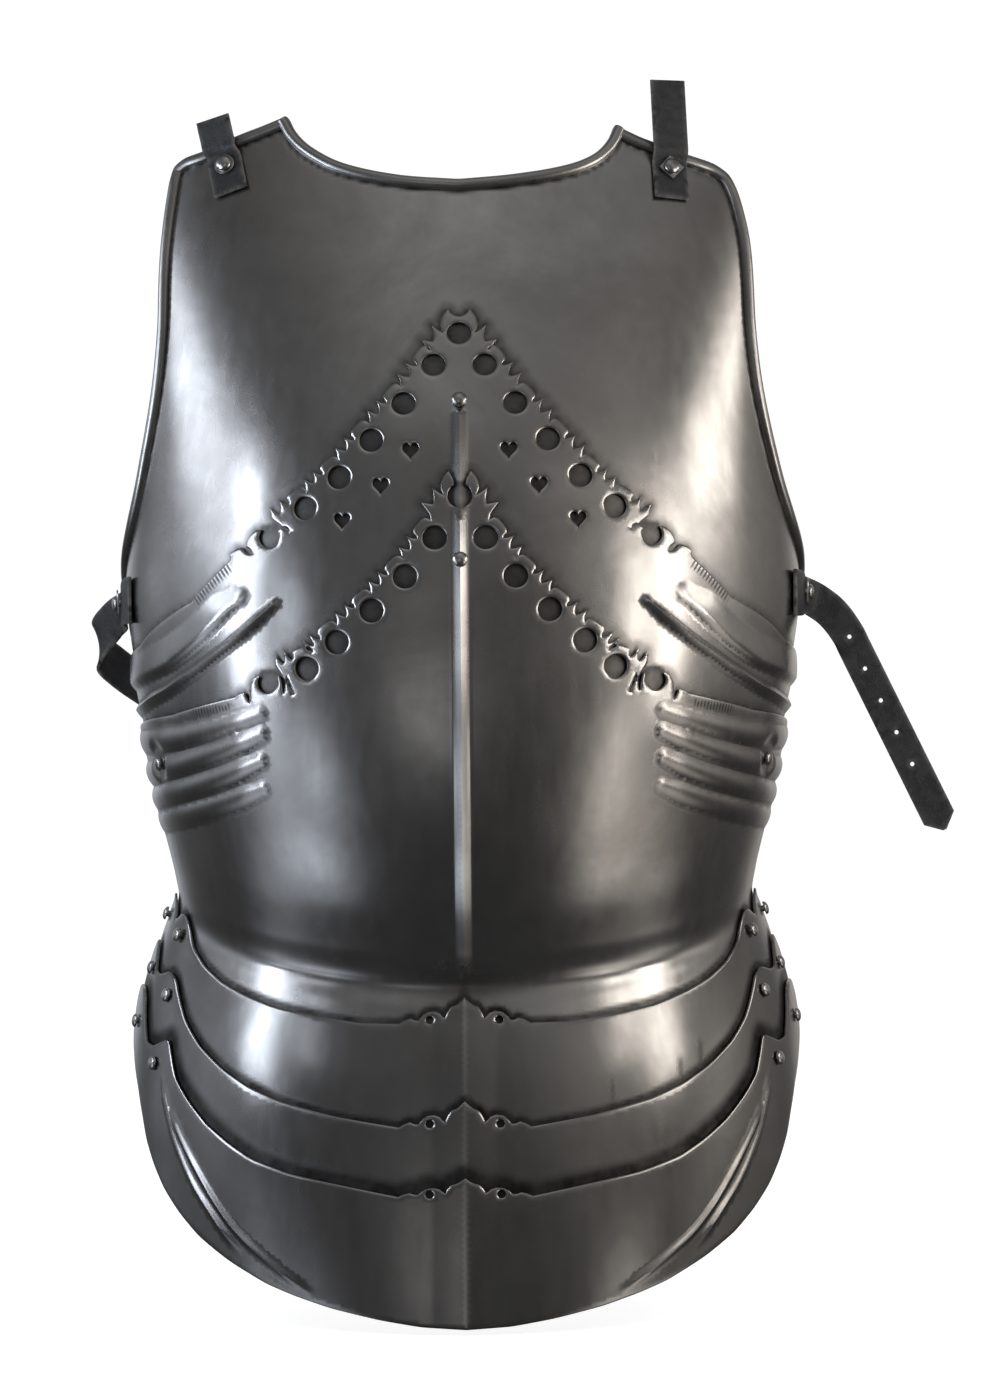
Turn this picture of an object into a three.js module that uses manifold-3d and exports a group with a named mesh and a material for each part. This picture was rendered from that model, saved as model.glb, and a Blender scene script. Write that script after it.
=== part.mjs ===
// A gothic steel breastplate in three overlapping plates with a fauld of three lames and leather straps.
// Millimetres, +Z up. The front faces -Y and +X is the right of the front view.
// The origin is the wearer's torso axis at the waist, so the plates curve around the front of it.

import * as THREE from 'three';
import { mergeVertices } from 'three/addons/utils/BufferGeometryUtils.js';
import Module from 'manifold-3d';

const wasm = await Module();
wasm.setup();

const degree = Math.PI / 180;

// ---------------------------------------------------------------- the torso surface

// Each row: station height, half width, depth in front of the torso axis.
const sections = [
  [-200, 170, 156], [-130, 169.5, 149], [-90, 168.5, 142], [-50, 163.5, 132], [-25, 156.5, 123.5],
  [-12, 152, 118.5], [0, 148.7, 114.5], [16, 150.8, 122.5], [40, 156.5, 134], [70, 163.5, 143],
  [100, 170, 147], [130, 176, 147], [165, 180, 142], [200, 177, 134], [250, 173, 120],
  [300, 172, 101], [350, 172, 79], [400, 166, 57], [440, 158, 44],
];
const stationHeights = sections.map((row) => row[0]);
const halfWidths = sections.map((row) => row[1]);
const frontDepths = sections.map((row) => row[2]);

// The waist and fauld sections hang lower at the front than at the sides.
const sideRise = 3;
const frontDip = 43;
const levelAbove = 250;

// Smooth curve through table points, with end slopes taken from the end spans.
function smoothTable(x, xs, ys) {
  let i = 0;
  while (i < xs.length - 2 && x >= xs[i + 1]) i += 1;
  const slope = (k) => (ys[k + 1] - ys[k]) / (xs[k + 1] - xs[k]);
  const last = xs.length - 2;
  const m0 = i === 0 ? slope(0) : (slope(i - 1) + slope(i)) / 2;
  const m1 = i === last ? slope(last) : (slope(i) + slope(i + 1)) / 2;
  const h = xs[i + 1] - xs[i];
  const t = (x - xs[i]) / h;
  const t2 = t * t;
  const t3 = t2 * t;
  return (2 * t3 - 3 * t2 + 1) * ys[i] + (t3 - 2 * t2 + t) * h * m0
    + (3 * t2 - 2 * t3) * ys[i + 1] + (t3 - t2) * h * m1;
}

// Straight lines between table points, held level past the ends.
function straightTable(x, table) {
  if (x <= table[0][0]) return table[0][1];
  for (let i = 1; i < table.length; i += 1) {
    const [x0, y0] = table[i - 1];
    const [x1, y1] = table[i];
    if (x <= x1) return y0 + ((y1 - y0) * (x - x0)) / (x1 - x0);
  }
  return table[table.length - 1][1];
}

function smoothStep(t) {
  const c = Math.min(1, Math.max(0, t));
  return c * c * (3 - 2 * c);
}

function stationAt(theta, z) {
  const dip = sideRise - frontDip * Math.cos(theta);
  return z - dip * (1 - smoothStep(z / levelAbove));
}

// Angle theta runs round the torso axis from the front centre; offset is outward, level.
function torsoPoint(theta, z, offset) {
  const station = stationAt(theta, z);
  const width = smoothTable(station, stationHeights, halfWidths);
  const depth = smoothTable(station, stationHeights, frontDepths);
  const nx = Math.sin(theta) / width;
  const ny = -Math.cos(theta) / depth;
  const length = Math.hypot(nx, ny);
  return new THREE.Vector3(
    width * Math.sin(theta) + (offset * nx) / length,
    -depth * Math.cos(theta) + (offset * ny) / length,
    z,
  );
}

// The angle at which the surface stands at a given x, at height z.
function thetaOfX(x, z) {
  let theta = Math.asin(Math.min(0.98, Math.abs(x) / 172));
  for (let i = 0; i < 12; i += 1) {
    const width = smoothTable(stationAt(theta, z), stationHeights, halfWidths);
    theta = Math.asin(Math.min(0.999, Math.abs(x) / width));
  }
  return x < 0 ? -theta : theta;
}

function torsoNormal(theta, z) {
  const step = 0.01;
  const across = torsoPoint(theta + step, z, 0).sub(torsoPoint(theta - step, z, 0));
  const up = torsoPoint(theta, z + 1, 0).sub(torsoPoint(theta, z - 1, 0));
  return across.cross(up).normalize();
}

// ---------------------------------------------------------------- relief on the plates

const ridge = { top: 254, fade: 8, bottom: -40, height: 2.6, halfWidth: 6.5 };

// The medial ridge: a sharp crest that starts under the upper rivet and dies at the waist crease.
function ridgeRelief(theta, z) {
  const x = Math.abs(torsoPoint(theta, z, 0).x);
  if (x >= ridge.halfWidth) return 0;
  const fadeTop = smoothStep((ridge.top - z) / ridge.fade);
  const fadeBottom = smoothStep((z - ridge.bottom) / 14);
  return ridge.height * fadeTop * fadeBottom * (1 - x / ridge.halfWidth);
}

// Each flute: start angle and height, end height at the side edge, crest height, half width.
const sideEdge = 97;
const sideRivet = { theta: 67.5, z: 74.5 };
const middleFlutes = [
  { line: [[38, 158], [43, 150], [51, 138.5], [63, 129], [97, 120]], height: 3.4, half: 9 },
  { line: [[31, 154], [38.6, 139.5], [46.6, 125], [60.6, 112], [97, 100]], height: 3.6, half: 9 },
];
const plackartFlutes = [
  { line: [[33, 99], [41, 93.5], [56, 86], [97, 80.5]], height: 3.0, half: 8 },
  { line: [[33, 81], [45, 74], [58, 68.5], [97, 64.5]], height: 3.0, half: 7.5 },
  { line: [[33, 65.5], [46, 59.5], [59, 55], [97, 50.5]], height: 2.6, half: 7.5 },
];

function fluteRelief(theta, z, flutes) {
  const angle = Math.abs(theta) / degree;
  const clear = Math.hypot((angle - sideRivet.theta) * 2.9, z - sideRivet.z);
  const room = smoothStep((clear - 7) / 6);
  let most = 0;
  for (const flute of flutes) {
    const [[from]] = flute.line;
    const along = (angle - from) / (sideEdge - from);
    if (along <= 0) continue;
    const centre = straightTable(angle, flute.line);
    const away = Math.abs(z - centre) / flute.half;
    if (away >= 1) continue;
    most = Math.max(most, room * flute.height * smoothStep(along * 2.6) * (1 - away) ** 1.4);
  }
  return most;
}

const keel = { height: 1.8, halfWidth: 16 };

function keelRelief(theta, z) {
  const x = Math.abs(torsoPoint(theta, z, 0).x);
  return keel.height * Math.max(0, 1 - x / keel.halfWidth);
}

// Twin embossed ridges that cross each side of the bottom lame.
const bibRidges = [
  [[64.5, -98], [62, -104], [56, -121], [50, -138], [44, -157], [38, -176]],
  [[62, -124], [56, -140], [50, -157], [44, -170], [36, -184], [28, -193]],
];

function bibRelief(theta, z) {
  const angle = Math.abs(theta) / degree;
  let most = 0;
  for (const line of bibRidges) {
    for (let i = 1; i < line.length; i += 1) {
      const [a0, z0] = line[i - 1];
      const [a1, z1] = line[i];
      const perDegree = 2.7;
      const dx = (a1 - a0) * perDegree;
      const dz = z1 - z0;
      const px = (angle - a0) * perDegree;
      const pz = z - z0;
      const t = Math.min(1, Math.max(0, (px * dx + pz * dz) / (dx * dx + dz * dz)));
      const away = Math.hypot(px - t * dx, pz - t * dz);
      most = Math.max(most, 2.2 * Math.max(0, 1 - away / 5));
    }
  }
  return most;
}

// ---------------------------------------------------------------- solids from grids and prisms

function solidFrom(positions, triangles) {
  const mesh = new wasm.Mesh({
    numProp: 3,
    vertProperties: new Float32Array(positions),
    triVerts: new Uint32Array(triangles),
  });
  return new wasm.Manifold(mesh);
}

// A closed sheet from two grids of points: rows of outer points and the matching inner points.
function sheetSolid(outer, inner) {
  const rows = outer.length;
  const columns = outer[0].length;
  const positions = [];
  for (const grid of [outer, inner]) {
    for (const row of grid) row.forEach((p) => positions.push(p.x, p.y, p.z));
  }
  const triangles = [];
  const face = (a, b, c, d) => triangles.push(a, b, c, a, c, d);
  const at = (r, c) => r * columns + c;
  const back = rows * columns;
  for (let r = 0; r < rows - 1; r += 1) {
    for (let c = 0; c < columns - 1; c += 1) {
      face(at(r, c), at(r, c + 1), at(r + 1, c + 1), at(r + 1, c));
      face(back + at(r, c), back + at(r + 1, c), back + at(r + 1, c + 1), back + at(r, c + 1));
    }
    face(at(r, 0), at(r + 1, 0), back + at(r + 1, 0), back + at(r, 0));
    face(at(r + 1, columns - 1), at(r, columns - 1), back + at(r, columns - 1), back + at(r + 1, columns - 1));
  }
  for (let c = 0; c < columns - 1; c += 1) {
    face(at(0, c + 1), at(0, c), back + at(0, c), back + at(0, c + 1));
    face(at(rows - 1, c), at(rows - 1, c + 1), back + at(rows - 1, c + 1), back + at(rows - 1, c));
  }
  return solidFrom(positions, triangles);
}

// A plate between a bottom line and a top line, both given against the share s of the side edge.
function plateSolid({ shares, rows, bottom, top, edge, outer, inner, relief }) {
  const grid = (offset) => rows.map((t) => shares.map((s) => {
    const low = bottom(Math.abs(s));
    const high = top(Math.abs(s));
    const z = low + (high - low) * t;
    const theta = s * edge(z) * degree;
    return torsoPoint(theta, z, offset + relief(theta, z));
  }));
  return sheetSolid(grid(outer), grid(inner));
}

// A prism whose outline is drawn on the torso surface and which passes through it.
function surfacePrism(outline, low, high) {
  const flat = outline.map(([theta, z]) => new THREE.Vector2(theta * 150, z));
  const points = THREE.ShapeUtils.isClockWise(flat) ? outline.slice().reverse() : outline;
  const contour = points.map(([theta, z]) => new THREE.Vector2(theta * 150, z));
  const caps = THREE.ShapeUtils.triangulateShape(contour, []);
  const positions = [];
  for (const offset of [low, high]) {
    points.forEach(([theta, z]) => {
      const p = torsoPoint(theta, z, offset);
      positions.push(p.x, p.y, p.z);
    });
  }
  const n = points.length;
  const triangles = [];
  for (const [a, b, c] of caps) triangles.push(c, b, a, n + a, n + b, n + c);
  for (let i = 0; i < n; i += 1) {
    const j = (i + 1) % n;
    triangles.push(i, j, n + j, i, n + j, n + i);
  }
  return solidFrom(positions, triangles);
}

// Millimetres on the surface around a point, turned into angle and height.
function localOutline(theta, z, points) {
  const across = torsoPoint(theta + 0.01, z, 0).distanceTo(torsoPoint(theta - 0.01, z, 0)) / 0.02;
  const up = torsoPoint(theta, z + 1, 0).distanceTo(torsoPoint(theta, z - 1, 0)) / 2;
  return points.map(([a, b]) => [theta + a / across, z + b / up]);
}

function circlePoints(radius, sides) {
  const points = [];
  for (let i = 0; i < sides; i += 1) {
    const turn = ((i + 0.5) / sides) * 2 * Math.PI;
    points.push([radius * Math.cos(turn), radius * Math.sin(turn)]);
  }
  return points;
}

const heartPoints = [[0, -5], [4.2, 1.2], [2.6, 3.6], [0, 2], [-2.6, 3.6], [-4.2, 1.2]];

// A tube swept along points, closed at both ends; ring gives its section in (side, up) pairs.
function sweptSolid(path, sides, ups, ring) {
  const positions = [];
  const forward = path[1].clone().sub(path[0]);
  const turned = new THREE.Vector3().crossVectors(sides[0], ups[0]).dot(forward) < 0;
  path.forEach((p, i) => {
    const section = turned ? ring(i).slice().reverse() : ring(i);
    section.forEach(([a, b]) => {
      const q = p.clone().addScaledVector(sides[i], a).addScaledVector(ups[i], b);
      positions.push(q.x, q.y, q.z);
    });
  });
  const n = ring(0).length;
  const triangles = [];
  for (let i = 0; i < path.length - 1; i += 1) {
    for (let k = 0; k < n; k += 1) {
      const a = i * n + k;
      const b = i * n + ((k + 1) % n);
      triangles.push(a, b, b + n, a, b + n, a + n);
    }
  }
  const end = (path.length - 1) * n;
  for (let k = 1; k < n - 1; k += 1) triangles.push(0, k + 1, k, end, end + k, end + k + 1);
  return solidFrom(positions, triangles);
}

// ---------------------------------------------------------------- plate outlines

// The two arm openings differ a little: height, then the angle of the edge.
const armEdgeLeft = [
  [150, 97], [165, 96], [180, 91], [192, 85], [205, 79.5], [220, 75.5], [235, 73.2], [250, 71],
  [275, 67.8], [300, 66], [325, 65.3], [350, 64.6], [375, 64], [394, 63.5],
];
const armEdgeRight = [
  [150, 97], [165, 96], [180, 91], [192, 84], [205, 77.6], [220, 72.8], [235, 70], [250, 67.7],
  [275, 64.6], [300, 63], [325, 62.3], [350, 61.3], [363, 60.2], [375, 58.8], [384, 56.8],
];
const upperEdge = (s, z) => straightTable(z, s > 0 ? armEdgeRight : armEdgeLeft);
const straightEdge = () => sideEdge;

// Neckline then shoulder line, against the share of the side edge.
const neckCorner = 0.53;
const upperTopLeft = [
  [0, 378], [0.17, 381], [0.335, 388.5], [0.4, 394], [0.46, 401], [0.495, 407], [neckCorner, 415],
  [0.61, 410.2], [0.7, 405.8], [0.85, 398], [0.94, 395.5], [1, 391],
];
const upperTopRight = [
  [0, 378], [0.17, 380.7], [0.342, 385.8], [0.41, 389.6], [0.461, 394.3], [0.504, 401.5], [neckCorner, 408.3],
  [0.61, 402.5], [0.66, 400], [0.811, 393], [0.93, 389.3], [1, 384],
];
const upperTop = (s) => straightTable(Math.abs(s), s > 0 ? upperTopRight : upperTopLeft);
const upperBottom = [
  [0, 190], [0.11, 187], [0.187, 184], [0.253, 180], [0.306, 176], [0.347, 168], [0.464, 130],
  [0.62, 90], [0.77, 64], [1, 58],
];

// Tips of the pierced edge, as x and z, then the plain line to the side edge.
const middleTips = [
  [0, 304], [8, 300.5], [13, 293.5], [22.5, 284.5], [37, 265.5], [53.5, 247.5], [70, 229.5], [87, 213],
  [98, 199], [104, 191.5], [116.5, 179], [137.5, 157.5], [158, 144.8], [167, 135.7], [175.5, 128], [179, 123],
];
const plackartTips = [
  [0, 220], [6, 221.5], [11, 216], [20.5, 201], [35, 182], [51, 163.5], [67, 146.5], [84, 132],
  [97, 120], [104, 112], [111.5, 108.2], [124.5, 104.4], [146.5, 99], [164, 95.5], [178, 92],
];
const middleHoles = [[0, 294], [13, 277.3], [28.2, 257.2], [44.5, 238.3], [60.7, 219.5], [78, 204], [96.5, 189.5]];
const plackartHoles = [[0, 209], [12.6, 187.6], [27.3, 168], [44, 151], [61.3, 135.2], [76.3, 122], [96, 115]];
const hearts = [[24.7, 233], [39.7, 215], [59.2, 197.4]];

const middleBottom = [
  [0, 160], [10, 153], [20, 118], [30, 100], [45, 88], [60, 76], [75, 62], [97, 58],
];
const plackartBottom = [
  [0, -68], [20, -65], [40, -55], [60, -39], [73, -27.5], [85, -20], [97, -18],
];

// A line given as x and z, turned into height against angle.
function heightAgainstAngle(points) {
  return points.map(([x, z]) => [thetaOfX(x, z) / degree, z]);
}

function asShares(table) {
  return table.map(([angle, z]) => [angle / sideEdge, z]);
}

// Columns: even spacing, with close ones at the medial ridge and at every break of the given lines.
function columnShares(count, extra) {
  const shares = new Set([0]);
  for (let i = 1; i <= count; i += 1) shares.add(i / count);
  const kept = [...shares].filter((s) => s === 0 || s === 1 || extra.every((e) => Math.abs(e - s) > 0.4 / count));
  const half = [...new Set([...kept, ...extra])].sort((a, b) => a - b);
  return [...half.slice(1).reverse().map((s) => -s), ...half];
}

// ---------------------------------------------------------------- gothic edge work

// Walks along a line of x, z points and gives a point and its along and outward directions.
function walkLine(points, distance) {
  let left = distance;
  for (let i = 1; i < points.length; i += 1) {
    const dx = points[i][0] - points[i - 1][0];
    const dz = points[i][1] - points[i - 1][1];
    const length = Math.hypot(dx, dz);
    if (left <= length || i === points.length - 1) {
      const along = [dx / length, dz / length];
      return {
        x: points[i - 1][0] + along[0] * left,
        z: points[i - 1][1] + along[1] * left,
        along,
        outward: [-along[1], along[0]],
      };
    }
    left -= length;
  }
  return null;
}

// V cuts between the flame-like teeth.
function toothCutters(tips, first, count, pitch, depth, side) {
  const cutters = [];
  for (let i = 0; i < count; i += 1) {
    const at = walkLine(tips, first + i * pitch);
    const point = (a, b) => {
      const x = at.x + at.along[0] * a + at.outward[0] * b;
      const z = at.z + at.along[1] * a + at.outward[1] * b;
      return [side * thetaOfX(x, z), z];
    };
    const outline = [point(-3.4, 2), point(-1.6, -depth), point(3.6, 2)];
    cutters.push(surfacePrism(outline, -4, 10));
  }
  return cutters;
}

function holeCutters(places, points) {
  return places.map(([x, z]) => surfacePrism(localOutline(thetaOfX(x, z), z, points), -6, 12));
}

function mirrored(places) {
  return [...places, ...places.filter(([x]) => x > 0).map(([x, z]) => [-x, z])];
}

// Cuts, then drops the slivers and level splits that carry no shape.
const flatness = 0.06;

function cutAll(solid, cutters) {
  return cutters.reduce((rest, cutter) => rest.subtract(cutter), solid);
}

function subtractAll(solid, cutters) {
  return cutAll(solid, cutters).simplify(flatness);
}

// ---------------------------------------------------------------- layers, from inside out

const layers = {
  upper: [0, 1.5],
  middle: [2.1, 3.6],
  plackart: [4.4, 5.9],
  lame1: [6.8, 8.2],
  lame2: [9.1, 10.5],
  lame3: [11.4, 12.8],
};
const noRelief = () => 0;
const middleRelief = (theta, z) => ridgeRelief(theta, z) + fluteRelief(theta, z, middleFlutes);
const plackartRelief = (theta, z) => ridgeRelief(theta, z) + fluteRelief(theta, z, plackartFlutes);

// ---------------------------------------------------------------- rivets

const rivets = {
  plain: { head: 3.7, dome: 2.4, shank: 1.7, tail: 3.2 },
  centre: { head: 4.0, dome: 2.8, shank: 1.7, tail: 3.2 },
  strap: { head: 4.4, dome: 2.6, shank: 1.7, tail: 3.4 },
};
const rivetSides = 6;
const shankPlay = 0.5;
const faceGap = 0.35;

function rivetGeometry(kind, grip) {
  const { head, dome, shank, tail } = rivets[kind];
  const profile = [
    [0, -grip - 1.2], [tail, -grip - 1.2], [tail, -grip], [shank, -grip], [shank, 0], [head, 0],
    [head * 0.68, dome * 0.8], [0, dome],
  ];
  return closedLathe(profile, rivetSides);
}

// Places rivets: theta in degrees, height, the outer and inner offsets that it grips.
const rivetPlaces = [
  { name: 'rivet_centre_upper', theta: 0, z: 257.5, kind: 'centre', outer: 4.0, inner: -0.3 },
  { name: 'rivet_centre_lower', theta: 0, z: 174.7, kind: 'centre', outer: 5.9 + ridge.height, inner: 1.8 },
  { name: 'rivet_side_left', theta: -sideRivet.theta, z: sideRivet.z, kind: 'plain', outer: 6.2, inner: -0.7 },
  { name: 'rivet_side_right', theta: sideRivet.theta, z: sideRivet.z, kind: 'plain', outer: 6.2, inner: -0.7 },
];

// Fauld rivets: the rear ones are pivots and the front ones slide in slots in the plate behind.
const fauldJoints = [
  { name: 'lame_1', front: [73, -20.5], rear: [90, -11], outer: layers.lame1[1] + 0.7, inner: layers.plackart[0] },
  { name: 'lame_2', front: [68, -51.5], rear: [82, -39], outer: layers.lame2[1], inner: layers.lame1[0] },
  { name: 'lame_3', front: [66.5, -85.5], rear: [81, -66], outer: layers.lame3[1], inner: layers.lame2[0] },
];
const slideRoom = 1.6;
for (const joint of fauldJoints) {
  for (const [side, sign] of [['left', -1], ['right', 1]]) {
    for (const end of ['front', 'rear']) {
      const [angle, z] = joint[end];
      rivetPlaces.push({
        name: `rivet_${joint.name}_${side}_${end}`,
        theta: sign * angle,
        z,
        kind: 'plain',
        outer: joint.outer + 0.25,
        inner: joint.inner - (end === 'front' ? slideRoom : 0.2),
      });
    }
  }
}

// The line of a rivet: its point on the torso surface, its axis and how far level offsets shrink along it.
function rivetLine(theta, z) {
  const foot = torsoPoint(theta * degree, z, 0);
  const axis = torsoNormal(theta * degree, z);
  const level = torsoPoint(theta * degree, z, 1).sub(foot);
  return { foot, axis, shrink: axis.dot(level) };
}

function crossAxes(axis) {
  const side = new THREE.Vector3(0, 0, 1).cross(axis).normalize();
  return { side, up: new THREE.Vector3().crossVectors(axis, side).normalize() };
}

// A straight prism along a rivet's axis; ring gives its section.
function axisCutter(foot, axis, ring, low, high) {
  const { side, up } = crossAxes(axis);
  const path = [low, high].map((distance) => foot.clone().addScaledVector(axis, distance));
  return sweptSolid(path, [side, side], [up, up], () => ring);
}

function shankCutter(theta, z, radius, low, high) {
  const { foot, axis } = rivetLine(theta, z);
  return axisCutter(foot, axis, circlePoints(radius, 6), low, high);
}

const liftLimit = 5 * degree;
const slotPlay = 0.8;

// The slot that lets a front rivet rise as its lame turns about the rear rivets.
function slotCutter(joint, sign, low, high) {
  const pivot = rivetLine(sign * joint.rear[0], joint.rear[1]).foot;
  const { foot, axis } = rivetLine(sign * joint.front[0], joint.front[1]);
  const lifted = foot.clone().sub(pivot).applyAxisAngle(new THREE.Vector3(-1, 0, 0), liftLimit).add(pivot);
  const { side, up } = crossAxes(axis);
  const move = lifted.sub(foot);
  const across = move.dot(side);
  const rise = move.dot(up);
  const radius = rivets.plain.shank + slotPlay;
  const ring = [...circlePoints(radius, 8), ...circlePoints(radius, 8).map(([a, b]) => [a + across, b + rise])];
  return axisCutter(foot, axis, convexOutline(ring), low, high);
}

function convexOutline(points) {
  const sorted = points.slice().sort((a, b) => a[0] - b[0] || a[1] - b[1]);
  const turn = (o, a, b) => (a[0] - o[0]) * (b[1] - o[1]) - (a[1] - o[1]) * (b[0] - o[0]);
  const half = (list) => {
    const kept = [];
    for (const p of list) {
      while (kept.length > 1 && turn(kept[kept.length - 2], kept[kept.length - 1], p) <= 0) kept.pop();
      kept.push(p);
    }
    return kept.slice(0, -1);
  };
  return [...half(sorted), ...half(sorted.slice().reverse())];
}

// ---------------------------------------------------------------- upper breastplate with its rolls

// The rolled borders stand proud of the plate: distance from the edge, then how far they stand out.
const borderRoll = [[8, 0], [6.6, 3], [1.6, 3.4], [0, 1.6]];
const shoulderRoll = [[6.6, 0], [1.6, 2], [0, 1.2]];
const armReach = 172;

function upperBreastplate() {
  const armShares = borderRoll.map(([distance]) => 1 - distance / armReach);
  const shares = columnShares(10, [neckCorner, 0.43, ...armShares]);
  const rows = [0, 0.17, 0.33, 0.4, 0.53, 0.68, 0.84, ...borderRoll.map(([distance]) => -distance)];
  const bottom = (s) => straightTable(s, upperBottom);
  const [inner, outer] = layers.upper;
  const standOut = (s, below, z) => {
    const table = s <= neckCorner ? borderRoll : shoulderRoll;
    const across = straightTable(-below, table.map(([d, h]) => [-d, h]));
    const fromArm = (1 - s) * armReach;
    const beside = z > 184 ? straightTable(-fromArm, borderRoll.map(([d, h]) => [-d, h])) : 0;
    return Math.max(across, beside);
  };
  const grid = (base, withRoll) => rows.map((row) => shares.map((s) => {
    const low = bottom(Math.abs(s));
    const high = upperTop(s);
    const z = row < 0 || Object.is(row, -0) ? high + row : low + (high - 8 - low) * row;
    const theta = s * upperEdge(s, z) * degree;
    return torsoPoint(theta, z, base + (withRoll ? standOut(Math.abs(s), high - z, z) : 0));
  }));
  const solid = sheetSolid(grid(outer, true), grid(inner, false));
  const cutters = [shankCutter(0, 257.5, 2.2, -4, 6)];
  for (const sign of [-1, 1]) {
    cutters.push(shankCutter(sign * 67.5, 74.5, 2.2, -4, 6));
  }
  for (const strap of strapRivets) {
    cutters.push(shankCutter(strap.theta, strap.z, 2.2, -4, 8));
  }
  return subtractAll(solid, cutters);
}

// ---------------------------------------------------------------- middle plate and plackart

const toothPitch = 8.9;
const toothDepth = 4.6;

function piercedPlate({ tips, holes, bottomTable, rows, layer, relief, firstTooth, teeth, cutters }) {
  const topTable = asShares(heightAgainstAngle(tips));
  const bottom = (s) => straightTable(s * sideEdge, bottomTable);
  const top = (s) => straightTable(s, topTable);
  const ridgeShare = (angle) => angle / sideEdge;
  const shares = columnShares(14, [ridgeShare(2.6), topTable[3][0], topTable[8][0]]);
  const [inner, outer] = layers[layer];
  const plate = plateSolid({ shares, rows, bottom, top, edge: straightEdge, outer, inner, relief });
  const all = [...holeCutters(mirrored(holes), circlePoints(6.2, 8)), ...cutters];
  for (const side of [-1, 1]) all.push(...toothCutters(tips, firstTooth, teeth, toothPitch, toothDepth, side));
  return subtractAll(plate, all);
}

function middlePlate() {
  const cutters = [
    ...holeCutters(mirrored(hearts), heartPoints),
    shankCutter(0, 257.5, 2.2, -4, 12),
    shankCutter(0, 174.7, 2.2, -4, 12),
    shankCutter(67.5, 74.5, 2.2, -4, 12),
    shankCutter(-67.5, 74.5, 2.2, -4, 12),
  ];
  return piercedPlate({
    tips: middleTips,
    holes: middleHoles,
    bottomTable: middleBottom,
    rows: [0, 0.22, 0.4, 0.56, 0.71, 0.86, 1],
    layer: 'middle',
    relief: middleRelief,
    firstTooth: 13.5,
    teeth: 15,
    cutters,
  });
}

function plackart() {
  const cutters = [
    shankCutter(0, 174.7, 2.2, -4, 14),
    shankCutter(67.5, 74.5, 2.2, -4, 12),
    shankCutter(-67.5, 74.5, 2.2, -4, 12),
  ];
  for (const sign of [-1, 1]) {
    cutters.push(shankCutter(sign * 90, -11, 2.2, -4, 12));
    cutters.push(slotCutter(fauldJoints[0], sign, -2, 12));
  }
  return piercedPlate({
    tips: plackartTips,
    holes: plackartHoles,
    bottomTable: plackartBottom,
    rows: [0, 0.1, 0.19, 0.3, 0.44, 0.56, 0.65, 0.74, 0.83, 0.92, 1],
    layer: 'plackart',
    relief: plackartRelief,
    firstTooth: 12,
    teeth: 13,
    cutters,
  });
}

// ---------------------------------------------------------------- fauld lames

// Half of the ornament at the middle of a top edge: x and drop from its point.
const ornament = [[0, 0], [4, -3.6], [9.6, -10.4], [12.2, -7.8], [18.5, -7.4], [22.5, -11.4], [26.5, -10.4],
  [32, -13]];

const lameOutlines = {
  lame_1: {
    peak: -46,
    end: 95,
    top: [[19.4, -58.8], [28, -55.6], [37, -51.6], [45, -46], [52, -40.2], [59, -32.4], [65.5, -22.8],
      [72, -7.2], [75, -6.8], [79.5, -10.6], [84, 3], [86.5, 3.3], [95, -7]],
    bottom: [[0, -118], [20, -115], [40, -100], [55, -80], [68, -60], [82, -46], [95, -30]],
  },
  lame_2: {
    peak: -97,
    end: 89,
    top: [[21.9, -105.2], [33, -98.2], [39.7, -91.9], [46.2, -83.7], [53.2, -72.6], [58.9, -60.9],
      [66.7, -40.2], [70, -36.5], [74.2, -38.7], [78, -37.8], [83, -25.2], [86.5, -21], [89, -29]],
    bottom: [[0, -157], [20, -153], [40, -135], [55, -112], [66, -95], [81, -74], [89, -56]],
  },
  lame_3: {
    peak: -134.5,
    end: 88.5,
    top: [[20.7, -138.5], [29.6, -134], [37.3, -127.8], [42.5, -120.8], [48.3, -111.7], [54, -100], [58.2, -90],
      [62.2, -70.5], [68, -75.2], [72, -73.2], [78, -51], [81, -46.8],
      [85.5, -45], [88.5, -54]],
    bottom: [[0, -209], [7, -208], [14, -204.7], [22.2, -199.6], [28.5, -194.5], [33.9, -189.5], [42.2, -179.2],
      [49.4, -168.8], [55.2, -158], [60.4, -147], [64.5, -135.8], [68, -124.2], [70.5, -112.3], [74, -99], [81, -81],
      [88.5, -64]],
  },
};

function fauldLame(name, layer, rows, relief, cutters) {
  const { peak, end, top, bottom } = lameOutlines[name];
  const centre = ornament.map(([x, drop]) => [thetaOfX(x, peak + drop) / degree, peak + drop]);
  const topTable = [...centre, ...top];
  const breaks = topTable.map(([angle]) => angle / end);
  const shares = columnShares(10, breaks);
  const [inner, outer] = layers[layer];
  const plate = plateSolid({
    shares,
    rows,
    bottom: (s) => straightTable(s * end, bottom),
    top: (s) => straightTable(s * end, topTable),
    edge: () => end,
    outer,
    inner,
    relief,
  });
  const small = [[17, peak - 11.2], [-17, peak - 11.2]];
  return subtractAll(plate, [...holeCutters(small, circlePoints(2.1, 6)), ...cutters]);
}

function rivetHoles(joint) {
  const cutters = [];
  for (const sign of [-1, 1]) {
    for (const [angle, z] of [joint.front, joint.rear]) {
      cutters.push(shankCutter(sign * angle, z, rivets.plain.shank + shankPlay, 0, 16));
    }
  }
  return cutters;
}

function parentHoles(joint) {
  const cutters = [];
  for (const sign of [-1, 1]) {
    cutters.push(shankCutter(sign * joint.rear[0], joint.rear[1], rivets.plain.shank + shankPlay, 0, 16));
    cutters.push(slotCutter(joint, sign, 0, 16));
  }
  return cutters;
}

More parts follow.
